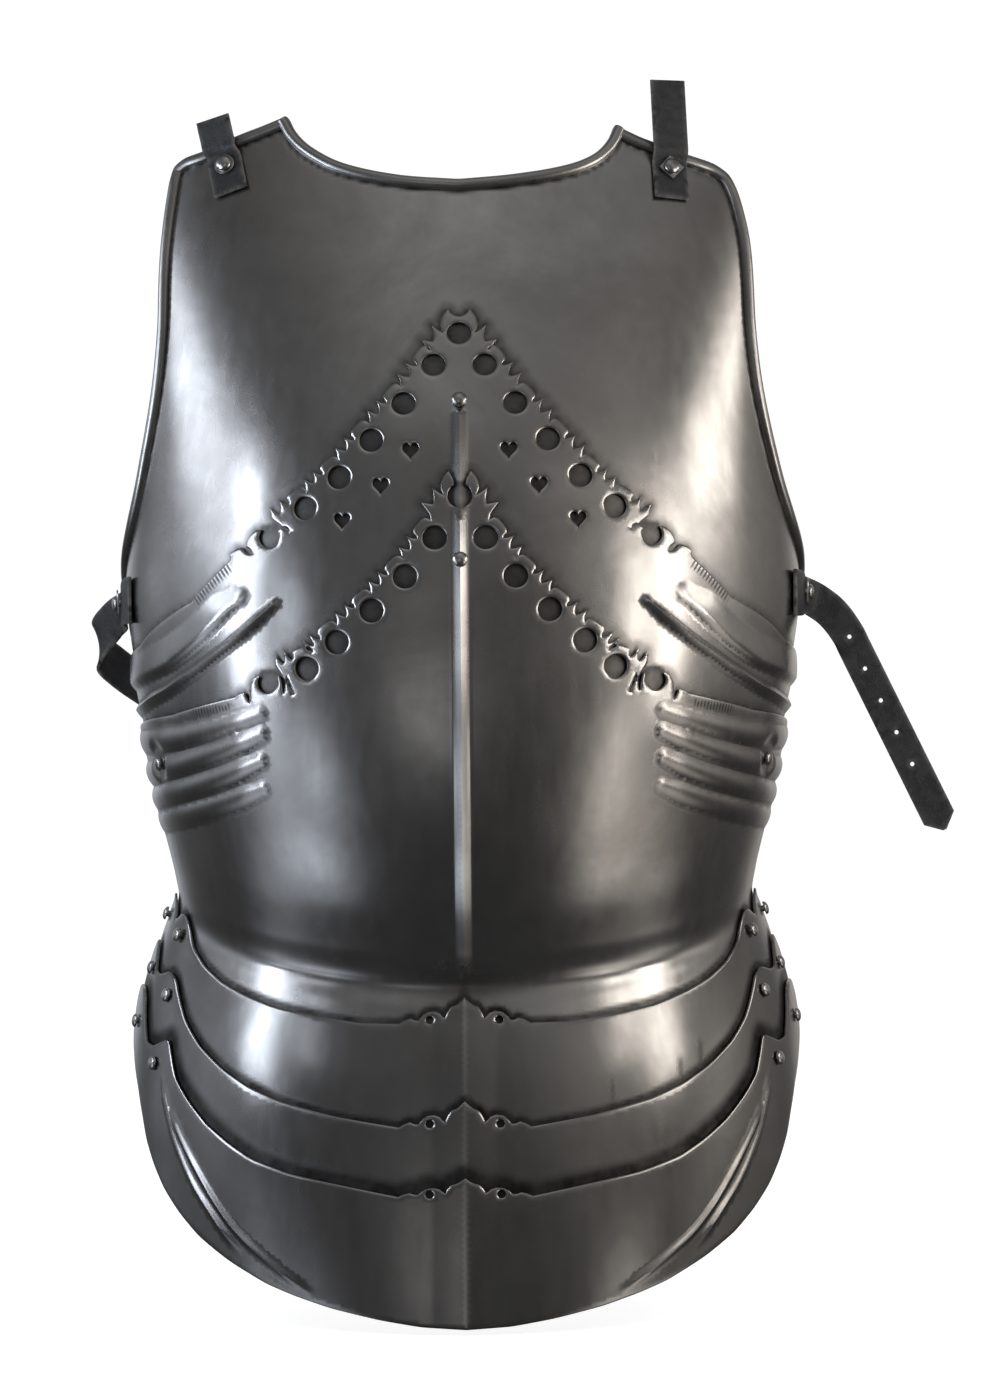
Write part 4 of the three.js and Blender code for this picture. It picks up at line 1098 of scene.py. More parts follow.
def roll_piece(line, half_width, half_height):
    """A rolled border: an oval ring carried along an edge, its outer side on the edge of the plate."""
    plan = line - across_line(line) * half_width
    theta, z = plan[:, 0] / ARC, plan[:, 1]
    height = np.broadcast_to(half_height, z.shape)
    path = torso(theta, z, 1.5 + height * 0.3)
    travel = unit(np.gradient(path, axis=0))
    side = unit(np.cross(torso_normal(theta, z), travel))
    size = np.stack([np.full(len(z), half_width), height], -1)
    return carried(path, side, np.cross(travel, side), size[:, None] * circle(turns(24)))


# ---------------------------------------------------------------- lames

ORNAMENT = [
    (0, 0), (2.2, -2.2), (4, -3.6), (6.4, -4.6), (8.2, -7.2), (9.6, -10.4), (10.8, -9.4), (12.2, -7.8),
    (15, -6.8), (18.5, -7.4), (20.6, -9.2), (22.5, -11.4), (24.2, -11.4), (26.5, -10.4), (29, -11.2),
    (32, -13),
]
ORNAMENT_HOLE = {"x": 17.0, "drop": 11.2, "radius": 2.1}
# Each lame: height of its point, top edge and bottom edge as angle and height; a dip flattens the ornament.
LAME_SHAPES = {
    "lame_1": {
        "peak": -46,
        "top": [(19.4, -58.8), (28, -55.6), (37, -51.6), (45, -46), (52, -40.2), (59, -32.4), (65.5, -22.8),
                (72, -7.2), (75, -6.8), (79.5, -10.6), (84, 3), (86.5, 3.3), (95, -7)],
        "bottom": [(0, -118), (20, -115), (40, -100), (55, -80), (68, -60), (82, -46), (95, -30)],
    },
    "lame_2": {
        "peak": -97,
        "top": [(21.9, -105.2), (33, -98.2), (39.7, -91.9), (46.2, -83.7), (53.2, -72.6), (58.9, -60.9),
                (66.7, -40.2), (70, -36.5), (74.2, -38.7), (78, -37.8), (83, -25.2), (86.5, -21), (89, -29)],
        "bottom": [(0, -157), (20, -153), (40, -135), (55, -112), (66, -95), (81, -74), (89, -56)],
    },
    "lame_3": {
        "peak": -134.5, "dip": 0.72,
        "top": [(20.7, -138.5), (29.6, -134), (37.3, -127.8), (42.5, -120.8), (48.3, -111.7), (54, -100),
                (58.2, -90), (62.2, -70.5), (68, -75.2), (72, -73.2), (78, -51), (81, -46.8), (85.5, -45),
                (88.5, -54)],
        "bottom": [(0, -209), (7, -208), (14, -204.7), (22.2, -199.6), (28.5, -194.5), (33.9, -189.5),
                   (42.2, -179.2), (49.4, -168.8), (55.2, -158), (60.4, -147), (64.5, -135.8), (68, -124.2),
                   (70.5, -112.3), (74, -99), (81, -81), (88.5, -64)],
    },
}


def lame_loop(name):
    """Outline of a lame on the layout, from its ornament at the centre to both ends."""
    shape = LAME_SHAPES[name]
    peak = shape["peak"]
    middle = np.array([(x, peak + drop * shape.get("dip", 1.0)) for x, drop in ORNAMENT], float)
    middle = on_plan(middle[:, 0], middle[:, 1])
    right = rounded_line(np.concatenate([middle[-1:], on_layout(shape["top"])]), 1.5, 4)
    right = np.concatenate([middle[:-1], right])
    return closed_loop(right, rounded_line(on_layout(shape["bottom"]), 1.5, 5))


def ornament_height(name):
    """Height of the two small holes of a lame's ornament."""
    shape = LAME_SHAPES[name]
    return shape["peak"] - ORNAMENT_HOLE["drop"] * shape.get("dip", 1.0)


# ---------------------------------------------------------------- rivets and straps

RIVETS = {
    "plain": {"head": 3.7, "dome": 2.4, "tail": 3.2},
    "centre": {"head": 4.0, "dome": 2.8, "tail": 3.2},
    "strap": {"head": 4.4, "dome": 2.6, "tail": 3.4},
}
SHANK = 1.7
FACE_GAP = 0.35

# Name, body, angle, height, kind, outer and inner offsets that the rivet grips.
RIVET_PLACES = [
    ("rivet_centre_upper", "breastplate", 0, 257.5, "centre", 4.0, -0.3),
    ("rivet_centre_lower", "breastplate", 0, 174.7, "centre", 8.5, 1.8),
    ("rivet_side_left", "breastplate", -SIDE_RIVET[0], SIDE_RIVET[1], "plain", 6.2, -0.7),
    ("rivet_side_right", "breastplate", SIDE_RIVET[0], SIDE_RIVET[1], "plain", 6.2, -0.7),
]
# Lame, front and rear rivet as angle and height, outer and inner offsets that they grip.
LAME_RIVETS = [
    ("lame_1", (73, -20.5), (90, -11), 8.9, 4.4),
    ("lame_2", (68, -51.5), (82, -39), 10.5, 6.8),
    ("lame_3", (66.5, -85.5), (81, -66), 12.8, 9.1),
]
STRAP_RIVETS = {
    "shoulder_strap_left": (-46.5, 388),
    "shoulder_strap_right": (41, 383.5),
    "side_strap_left": (-84.5, 159),
    "side_strap_right": (84.5, 162),
}
THICKNESS = 2.4
STRAP_SEAT = 1.5 + 0.85 + THICKNESS / 2
STRAP_TOP = STRAP_SEAT + THICKNESS / 2 + 0.3
STRAP_ROWS = 160
STRAP_RIM = 0.9
STRAP_HOLES = {"from_end": 116.4, "step": 19.2, "count": 5, "radius": 1.15}
# Lean to one side, then the heights where a shoulder strap starts, leaves the plate, turns and ends.
SHOULDER_STRAPS = {
    "shoulder_strap_left": (-0.22, 374.5, 393.6, 398.5, 414.5),
    "shoulder_strap_right": (-0.04, 368.5, 388.9, 394.4, 432),
}
WASHERS = {
    "shoulder_strap_left": "round", "shoulder_strap_right": "lozenge",
    "side_strap_left": "oval", "side_strap_right": "oval",
}


def rivet_line(angle, z):
    """Foot on the torso, true normal there, and how far level offsets shrink along it."""
    theta = np.array([angle * DEGREE])
    foot = torso(theta, [z], 0.0)[0]
    axis = torso_normal(theta, np.array([z], float))[0]
    level = torso(theta, [z], 1.0)[0] - foot
    return foot, axis, float(axis @ level)


def domed_rivet(kind, grip):
    """Profile of a rivet: a peened tail, a shank and a low dome that follows a quarter ellipse."""
    size = RIVETS[kind]
    head, dome, tail = size["head"], size["dome"], size["tail"]
    top = (0, 0.35) + circle(np.linspace(0, 0.5, 9) * math.pi) * (head, dome - 0.35)
    foot = [(0, -grip - 1.2), (tail * 0.7, -grip - 1.1), (tail, -grip - 0.6), (tail, -grip), (SHANK, -grip),
            (SHANK, 0), (head - 0.25, 0), (head, 0.2)]
    return lathed(np.concatenate([foot, top]), 28)


# ---------------------------------------------------------------- straps


def smooth_rows(stations):
    """Smooth curve through rows of numbers, with the slope at a row taken from its neighbours."""
    rows = np.asarray(stations, float)
    where = travelled(rows[:, :3])
    sample = np.linspace(0, where[-1], STRAP_ROWS)
    return np.stack([smooth_table(sample, where, rows[:, k]) for k in range(rows.shape[1])], -1)


def strap_frames(path, wide):
    """Side and face directions along a strap; the face is travel crossed with the width."""
    travel = unit(np.gradient(path, axis=0))
    face = unit(np.cross(travel, wide))
    return np.cross(face, travel), face


def seat_station(angle, z, lift, width, wide=None):
    """A strap station lying over the plate: place, width direction and width in one row."""
    theta = np.array([angle * DEGREE])
    if wide is None:
        side = torso(theta + 0.01, [z], 0.0)[0] - torso(theta - 0.01, [z], 0.0)[0]
        wide = -unit(side)
    place = torso(theta, [z], lift)[0]
    return [*place, *wide, width]


def shoulder_stations(rivet, lean, low, seat_top, edge, top):
    """Stations of a shoulder strap: along the plate, over its turned edge and up."""
    angle, z = STRAP_RIVETS[rivet]
    x0 = torso([angle * DEGREE], [z], 0.0)[0][0]
    at = lambda h: float(angle_at(np.array([x0 + (h - z) * lean]), np.array([h]))[0]) / DEGREE
    rows = [seat_station(at(h), h, STRAP_SEAT, 19) for h in (low, (low + seat_top) / 2, seat_top)]
    rows.append(seat_station(at(edge), edge, STRAP_SEAT + 3.4, 19))
    last = np.array(rows[-1])
    for rise in (4, (4 + top - edge) / 2, top - edge):
        row = last.copy()
        row[:3] += (lean * rise, 0.12 * rise, rise)
        rows.append(list(row))
    return rows


def side_right_stations():
    """Stations of the right side strap: riveted on the side, standing off it and hanging down."""
    rows = [seat_station(a, 161, STRAP_SEAT, w, (0, 0, 1))
            for a, w in ((74, 25), (80, 24), (85, 22), (89, 20))]
    rows.append([189.5, 5, 158.5, 0.15, 0, 0.99, 19])
    rows.append([199, 5.5, 151.5, 0.55, 0, 0.83, 18.5])
    for d in (0, 7, 40, 76, 112, 118):
        rows.append([208 + 0.436 * d, 4, 139.3 - 0.9 * d, 0.9, 0, 0.436, 18])
    return rows


def side_left_stations():
    """Stations of the left side strap: riveted, folded outward and back behind the plate."""
    rows = [seat_station(a, z, STRAP_SEAT, w, (0, 0, -1))
            for a, z, w in ((-74, 160, 25), (-80, 159.5, 24), (-85, 158, 22), (-89, 155.5, 21))]
    for x, y, z, lean in ((-190, 6, 150, 0.25), (-197, 14, 141, 0.2), (-196, 24, 132, 0),
                          (-186, 31, 122, -0.2), (-172, 34, 112, -0.3), (-166.5, 34.5, 108.5, -0.3),
                          (-150, 36, 98, -0.3)):
        rows.append([x, y, z, lean, 0, -1, 20])
    return rows


def strap_piece(name, stations, holes, tip):
    """A leather strap: an outline on its own length and width, holes cut, carried along its path.

    A point at length u, width v and side s is path(u) + v * side(u) + s * half thickness * face(u),
    with the half thickness rounded off within STRAP_RIM of an edge.
    """
    rows = smooth_rows(stations)
    path, wide, width = rows[:, :3], rows[:, 3:6], rows[:, 6]
    side, face = strap_frames(path, wide)
    where = travelled(path)
    length = where[-1]
    share = np.unique(np.append(np.linspace(0, 1, 60), 1 - tip / length))
    half = np.interp(share * length, where, width) / 2
    ease = np.ones_like(share)
    if tip:
        from_end = (1 - share) * length
        ease = np.where(from_end < tip, 0.12 + 0.88 * from_end / tip, 1)
    edge = np.stack([share * length, half * ease], -1)
    loop = np.concatenate([edge * (1, -1), edge[::-1]])
    loops = [spaced(np.concatenate([loop, loop[:1]]), 1.6)[:-1]]
    for u, v, radius in holes:
        loops.append((u, v) + radius * circle(turns(18)))
    plan, triangles = trimmed_triangles(loops, [], 1.7, (0.35, STRAP_RIM))
    depth = distance_to_lines(plan, loops, closed=True)
    thin = THICKNESS / 2 - 0.55 * np.maximum(0, 1 - depth / STRAP_RIM) ** 2
    bend = lambda part: np.stack([np.interp(plan[:, 0], where, part[:, k]) for k in range(3)], -1)
    centre = bend(path) + bend(side) * plan[:, 1:]
    out = unit(bend(face))
    points = np.concatenate([centre + out * thin[:, None], centre - out * thin[:, None]])
    wear_and_sheen = np.exp(-depth / 0.7)
    finish = finish_named("strap_leather", leather_finish)
    faces = sheet_faces(triangles, len(plan))
    first = points[faces[0][0]]
    if np.cross(first[1] - first[0], first[2] - first[0]) @ out[faces[0][0, 0]] < 0:
        faces = [part[:, ::-1] for part in faces]
    return put_mesh(name, points, faces, finish, sharp=50, fields={"wear_and_sheen": np.concatenate([wear_and_sheen, wear_and_sheen])})


def washer_piece(name, angle, z, shape):
    """A flat washer under a strap rivet, a circle, an oval or a lozenge, with a rounded top edge."""
    foot, axis, shrink = rivet_line(angle, z)
    top = STRAP_TOP * shrink + 0.6
    count = 36
    turn = turns(count)
    if shape == "lozenge":
        reach = 7.0 / (np.abs(np.cos(turn)) + np.abs(np.sin(turn))) ** 0.9
    elif shape == "oval":
        reach = 1 / np.hypot(np.cos(turn) / 5.0, np.sin(turn) / 7.6)
    else:
        reach = np.full(count, 5.6)
    ring = circle(turn)
    bore = 2.2
    levels = [(bore, 0), (reach, 0), (reach, 0.5), (reach - 0.4, 0.9), (bore, 0.9)]
    points = np.concatenate([np.concatenate([ring * np.reshape(r, (-1, 1)), np.full((count, 1), h)], 1)
                             for r, h in levels])
    at = np.arange(len(points)).reshape(len(levels), count)
    after = np.roll(at, -1, axis=1)
    low, high = at, np.roll(at, -1, axis=0)
    quads = np.stack([low, after, np.roll(after, -1, axis=0), high], -1).reshape(-1, 4)
    points = along(axis, foot + axis * top, points)
    return put_mesh(name, points, [quads], finish_named("rivet_steel", bright_finish))


# ---------------------------------------------------------------- operators

# Painted shadow beside a plate that lies over another: reach in millimetres and amount.
UNDER_TEETH = ((1.5, 0.85), (4.0, 0.45))
# Groove inside the rolled borders: distance from the edge, half width, depth, and where its painted shade is
# darkest.
GROOVE = {"away": 6.6, "half": 0.9, "depth": 0.5, "dark": 6.5}


class BREASTPLATE_OT_upper(bpy.types.Operator):
    """Make the upper plate with its rolled neck and arm borders"""

    bl_idname = "breastplate.upper"
    bl_label = "Upper plate"

    def execute(self, context):
        plates, _finish = settings()
        loops = [upper_loop()]
        neck = rounded_line(np.concatenate([neck_line(-1)[::-1], neck_line(1)[1:]]), 2.0, 3)
        arms = {side: shoulder_line(side) for side in (-1, 1)}
        arms = {side: line[line[:, 1] > 168] for side, line in arms.items()}
        lines = [neck, arms[-1], arms[1]]
        under = edge_on_layout(middle_edge())

        def bordered(theta, z):
            """A narrow groove inside the rolled borders."""
            away = distance_to_lines(layout_points(theta, z), lines)
            fall = np.exp(-((away - GROOVE["away"]) / GROOVE["half"]) ** 2)
            return (-GROOVE["depth"] * fall).reshape(np.shape(z))

        steel = finish_named("upper_steel", steel_finish)
        # The recess paints shadow on this plate beside the middle plate's pierced edge; the marks paint shade
        # under the middle plate's holes and hearts.
        plate = plate_sheet("upper_plate", loops, LAYERS["upper"], bordered, steel, spacing=2.6,
                            recess=[([under], *teeth) for teeth in UNDER_TEETH],
                            marks=shade_seen_through(MIDDLE_HOLES, HEARTS))
        self.darken_groove(plate, lines)
        dress(plate, "breastplate", "steel_upper", "upper_breastplate")
        steel = finish_named("roll_steel", roll_finish)
        parts = [roll_piece(neck, plates.roll_width, plates.roll_height)]
        for side, line in arms.items():
            on_shoulder = smooth_step((line[:, 1] - 380) / 10)
            height = plates.roll_height - 0.9 * on_shoulder
            if side < 0:
                line, height = line[::-1], height[::-1]
            parts.append(roll_piece(line, plates.roll_width, height))
        points, faces = merged(parts)
        roll = put_mesh("rolled_borders", points, faces, steel)
        dress(roll, "breastplate", "steel_upper", "upper_breastplate")
        return {"FINISHED"}

    @staticmethod
    def darken_groove(plate, lines):
        """Adds painted shade in the groove beside the rolls."""
        mesh = plate.data
        count = len(mesh.vertices)
        uv = np.zeros(len(mesh.loops) * 2, np.float32)
        mesh.uv_layers["layout"].data.foreach_get("uv", uv)
        corner = np.zeros(len(mesh.loops), np.int32)
        mesh.loops.foreach_get("vertex_index", corner)
        plan = np.zeros((count, 2))
        plan[corner] = uv.reshape(-1, 2) * 1000
        away = distance_to_lines(plan, lines)
        grime_and_shade = np.zeros(count, np.float32)
        layer = mesh.attributes["grime_and_shade"]
        layer.data.foreach_get("value", grime_and_shade)
        grime_and_shade = np.maximum(grime_and_shade, 0.95 * np.exp(-((away - GROOVE["dark"]) / GROOVE["half"]) ** 2))
        layer.data.foreach_set("value", grime_and_shade.astype(np.float32))


class BREASTPLATE_OT_middle(bpy.types.Operator):
    """Make the pierced middle plate"""

    bl_idname = "breastplate.middle"
    bl_label = "Middle plate"

    def execute(self, context):
        loops = [plate_loop(middle_edge(), MIDDLE_BOTTOM), *both_at(round_loop, MIDDLE_HOLES[:-1], HOLE),
                 *both_at(heart_loop, HEARTS)]
        flutes = flute_relief(MIDDLE_FLUTES)
        relief = lambda theta, z: ridge_relief(theta, z) + flutes(theta, z)
        ridge = ridge_lines(254, 150)
        under = edge_on_layout(plackart_edge())
        steel = finish_named("middle_steel", steel_finish, shade=0.96)
        # The recess paints shadow beside the plackart's pierced edge and shade along the feet of the second
        # flute; the marks paint shade under the plackart's holes.
        plate = plate_sheet("middle_plate_steel", loops, LAYERS["middle"], relief, steel,
                            creases=[*ridge, *flute_lines(MIDDLE_FLUTES), *flute_feet(MIDDLE_FLUTES)],
                            spacing=1.7, worn_and_sheen=[ridge[0], *flute_lines(MIDDLE_FLUTES[1:])],
                            recess=[*(([under], *teeth) for teeth in UNDER_TEETH),
                                    (flute_feet(MIDDLE_FLUTES[1:]), 0.8, 0.5)],
                            marks=shade_seen_through(PLACKART_HOLES, ()),
                            filed=on_plan(*np.array(MIDDLE_FILED).T))
        dress(plate, "breastplate", "steel_middle", "middle_plate")
        return {"FINISHED"}


class BREASTPLATE_OT_plackart(bpy.types.Operator):
    """Make the plackart with its pierced edge, ridge and flutes"""

    bl_idname = "breastplate.plackart"
    bl_label = "Plackart"

    def execute(self, context):
        loops = [plate_loop(plackart_edge(), PLACKART_BOTTOM),
                 *both_at(round_loop, PLACKART_HOLES[1:-1], HOLE)]
        flutes = flute_relief(PLACKART_FLUTES)
        relief = lambda theta, z: ridge_relief(theta, z) + flutes(theta, z)
        ridge = ridge_lines(196, -40)
        feet = flute_feet(PLACKART_FLUTES)
        steel = finish_named("plackart_steel", steel_finish, shade=0.98)
        top = LAME_SHAPES["lame_1"]["peak"]
        pierced = ornament_hole_shade("lame_1")

        def stain_and_shade(x, z):
            """A small real stain at the first lame's point, a wider painted shade round it, and painted shade
            under the lame's two holes.
            """
            small = 0.9 * np.exp(-((x / 5) ** 2 + ((z - top - 3) / 6) ** 2))
            wide = 0.6 * np.exp(-(((x - 5) / 28) ** 2 + ((z - top - 4) / 9) ** 2))
            return np.maximum(np.maximum(small, wide), pierced(x, z))

        # The recess paints shadow above the first lame's top edge and shade along the flute feet; the marks
        # add a real stain and painted shade at the lame's point.
        plate = plate_sheet("plackart_steel_plate", loops, LAYERS["plackart"], relief, steel,
                            creases=[*ridge, *feet], spacing=1.9, worn_and_sheen=ridge[:1],
                            recess=[([both_sides_of_lame("lame_1")], 3.0, 1.0), (feet, 0.7, 0.4)],
                            marks=stain_and_shade, filed=on_plan(*np.array(PLACKART_FILED).T))
        dress(plate, "breastplate", "steel_plackart", "plackart")
        return {"FINISHED"}


def both_sides_of_lame(name):
    """The top edge of a lame on the layout."""
    loop = lame_loop(name)
    cut = int(np.argmax(loop[:, 0]))
    return loop[:cut]


def ornament_hole_shade(name):
    """Painted shade on the plate under the two small holes of a lame's ornament."""
    height = ornament_height(name)
    return lambda x, z: smooth_step((4.2 - np.hypot(np.abs(x) - ORNAMENT_HOLE["x"], z - height)) / 1.2)


def drips(x, z):
    """Three dark runs of old oil over the second lame's top edge, on one side."""
    dark = np.zeros_like(z)
    for place, top in ((72, -84), (106, -76), (116, -66)):
        dark = np.maximum(dark, 0.75 * np.exp(-((x - place) / 1.3) ** 2) * smooth_step((top - z) / 7))
    return dark


class BREASTPLATE_OT_fauld(bpy.types.Operator):
    """Make the three lames of the fauld"""

    bl_idname = "breastplate.fauld"
    bl_label = "Fauld lames"

    def execute(self, context):
        names = ["lame_1", "lame_2", "lame_3"]
        for number, name in enumerate(names):
            shape = LAME_SHAPES[name]
            loops = [lame_loop(name)]
            for side in (-1, 1):
                loops.append(round_loop(side * ORNAMENT_HOLE["x"], ornament_height(name),
                                        ORNAMENT_HOLE["radius"], 14))
            centre = np.array([(0, shape["peak"] - 1.5), (0, shape["bottom"][0][1] + 1.5)], float)
            creases = [centre]
            relief = keel_relief
            if name == "lame_3":
                creases += bib_lines()
                relief = bib_relief
            recess = []
            marks = None
            if number < 2:
                cover = names[number + 1]
                # Painted shadow above the top edge of the next lame, which lies over this one, and painted
                # shade under its ornament holes; the drips on the first lame are real stains.
                recess = [([both_sides_of_lame(cover)], 3.2 if number == 0 else 6.6, 1.0)]
                pierced = ornament_hole_shade(cover)
                marks = pierced if number else lambda x, z: np.maximum(drips(x, z), pierced(x, z))
            # Shade 0.62 makes a darker copy of the steel for the lames: painted shade for the dimmer
            # reflections on the front of the fauld.
            steel = finish_named("fauld_steel", steel_finish, shade=0.62)
            plate = plate_sheet(f"fauld_{name}_steel", loops, LAYERS[name], relief, steel, creases=creases,
                                spacing=2.0, recess=recess, marks=marks, worn_and_sheen=[centre])
            dress(plate, name, "steel_fauld", f"fauld_{name}")
        return {"FINISHED"}


class BREASTPLATE_OT_rivets(bpy.types.Operator):
    """Make the domed rivets of the plates and the fauld"""

    bl_idname = "breastplate.rivets"
    bl_label = "Rivets"

    def execute(self, context):
        places = list(RIVET_PLACES)
        for name, front, rear, outer, inner in LAME_RIVETS:
            for side, sign in (("left", -1), ("right", 1)):
                for end, (angle, z), room in (("front", front, 1.6), ("rear", rear, 0.2)):
                    places.append((f"rivet_{name}_{side}_{end}", name, sign * angle, z, "plain",
                                   outer + 0.25, inner - room))
        steel = finish_named("rivet_steel", bright_finish)
        for name, body, angle, z, kind, outer, inner in places:
            foot, axis, shrink = rivet_line(angle, z)
            reach = outer * shrink + FACE_GAP
            grip = reach - (inner * shrink - FACE_GAP)
            points, faces = domed_rivet(kind, grip)
            piece = put_mesh(f"domed_{name}", along(axis, foot + axis * reach, points), faces, steel)
            dress(piece, body, "rivet", name)
        return {"FINISHED"}


class BREASTPLATE_OT_straps(bpy.types.Operator):
    """Make the leather straps with their washers and rivets"""

    bl_idname = "breastplate.straps"
    bl_label = "Leather straps"

    def execute(self, context):
        stations = {name: shoulder_stations(name, *sizes) for name, sizes in SHOULDER_STRAPS.items()}
        stations["side_strap_left"] = side_left_stations()
        stations["side_strap_right"] = side_right_stations()
        first = line_length(smooth_rows(stations["side_strap_right"])[:, :3]) - STRAP_HOLES["from_end"]
        row = [(first + STRAP_HOLES["step"] * k, 0, STRAP_HOLES["radius"])
               for k in range(STRAP_HOLES["count"])]
        for name, rows in stations.items():
            holes, tip = (row, 7) if name == "side_strap_right" else ([], 0)
            piece = strap_piece(f"{name}_leather", rows, holes, tip)
            dress(piece, "breastplate", "leather", name)
            angle, z = STRAP_RIVETS[name]
            washer = washer_piece(f"washer_of_{name}", angle, z, WASHERS[name])
            dress(washer, "breastplate", "washer", f"washer_{name}")
            foot, axis, shrink = rivet_line(angle, z)
            reach = STRAP_TOP * shrink + 1.8
            points, faces = domed_rivet("strap", reach + 2.2)
            steel = finish_named("rivet_steel", bright_finish)
            rivet = put_mesh(f"domed_rivet_{name}", along(axis, foot + axis * reach, points), faces, steel)
            dress(rivet, "breastplate", "rivet", f"rivet_{name}")
        return {"FINISHED"}


# ---------------------------------------------------------------- stage

COOL = (0.88, 0.97, 1.1)
WARM = (1.07, 1.0, 0.91)
PLAIN = (1.0, 1.0, 1.0)
PALE_SKY = (0.93, 0.93, 0.93, 1.0)
# Each glow: azimuth from the front towards +X, elevation, reach in degrees, strength, colour.
GLOWS = [
    (-66, -20, 9, 0.8, COOL), (-80, -30, 9, 0.5, COOL), (-88, 14, 14, 0.5, COOL),
    (66, -18, 9, 0.7, WARM), (80, -29, 9, 0.6, WARM), (84, 12, 13, 0.6, WARM),
    (48, -4, 6, 1.5, WARM), (49, -15, 8, 1.2, WARM), (56, -30, 9, 0.8, WARM),
    (-64, -5, 6, 1.4, COOL), (-48, -8, 6, 1.5, COOL), (-55, -27, 9, 1.0, COOL),
    (0, 62, 24, 0.31, PLAIN), (40, 27, 16, 0.26, WARM), (-10, 6, 9, 0.5, PLAIN),
    (-116, 9, 14, 0.45, COOL), (112, 8, 18, 0.2, WARM),
    (180, 24, 30, 0.5, PLAIN), (-158, 2, 14, 0.5, COOL), (156, 0, 14, 0.4, WARM),
]
# Each strip lamp: azimuth, then distance, height, width and length in metres, then glow and colour.
STRIPS = [
    (-66, 0.66, 0.27, 0.10, 0.38, 5.2, COOL), (-88, 0.74, 0.45, 0.34, 0.15, 2.6, COOL),
    (-50, 0.66, 0.27, 0.08, 0.14, 1.4, COOL),
    (62, 0.66, 0.25, 0.12, 0.34, 3.1, WARM), (82, 0.72, 0.44, 0.30, 0.15, 2.0, WARM),
    (50, 0.66, 0.31, 0.09, 0.22, 2.4, WARM),
]


# Camera: millimetres to the torso axis and millimetres seen up the picture there, sensor, place in metres.
CAMERA_AWAY = 2200
VIEW_HEIGHT = 756
SENSOR = 36.0
CAMERA_X, CAMERA_Z = 0.01944, 0.1053


def node_maker(tree):
    """A call that adds a node to a tree; i0, i1 and so on set or link its inputs by number."""
    def node(kind, operation=None, **values):
        made = tree.nodes.new(kind)
        if operation:
            made.operation = operation
        for key, value in values.items():
            socket = made.inputs[int(key[1:])]
            if isinstance(value, bpy.types.NodeSocket):
                tree.links.new(value, socket)
            else:
                socket.default_value = value
        return made
    return node


def sum_of_glows(node, direction):
    """Light from a direction d: the sum of strength * exp(2 (d . c - 1) / reach^2) over the glows."""
    total = None
    for azimuth, elevation, reach, strength, colour in GLOWS:
        a, e, w = azimuth * DEGREE, elevation * DEGREE, reach * DEGREE
        centre = (math.sin(a) * math.cos(e), -math.cos(a) * math.cos(e), math.sin(e))
        dot = node("ShaderNodeVectorMath", "DOT_PRODUCT", i0=direction, i1=centre).outputs["Value"]
        fall = node("ShaderNodeMath", "MULTIPLY_ADD", i0=dot, i1=2 / w ** 2, i2=-2 / w ** 2).outputs[0]
        glow = node("ShaderNodeMath", "EXPONENT", i0=fall).outputs[0]
        tint = tuple(strength * c for c in colour)
        glow = node("ShaderNodeVectorMath", "SCALE", i0=tint, i3=glow).outputs[0]
        total = glow if total is None else node("ShaderNodeVectorMath", "ADD", i0=total, i1=glow).outputs[0]
    return total


def studio_room(name):
    """A dim room with glows in some directions, which the camera itself sees as a pale sky."""
    world = bpy.data.worlds.new(name)
    world.use_nodes = True
    tree = world.node_tree
    tree.nodes.clear()
    node = node_maker(tree)
    direction = tree.nodes.new("ShaderNodeTexCoord").outputs["Generated"]
    total = sum_of_glows(node, direction)
    height = node("ShaderNodeSeparateXYZ", i0=direction).outputs["Z"]
    share = node("ShaderNodeMapRange", i0=height, i1=-0.5, i2=0.6, i3=0.045, i4=0.105).outputs[0]
    total = node("ShaderNodeVectorMath", "ADD", i0=total, i1=share).outputs[0]
    room = node("ShaderNodeBackground", i0=total, i1=1.0)
    sky = node("ShaderNodeBackground", i0=PALE_SKY, i1=1.0)
    seen = tree.nodes.new("ShaderNodeLightPath").outputs["Is Camera Ray"]
    mix = node("ShaderNodeMixShader", i0=seen, i1=room.outputs[0], i2=sky.outputs[0])
    out = tree.nodes.new("ShaderNodeOutputWorld")
    tree.links.new(mix.outputs[0], out.inputs["Surface"])
    return world


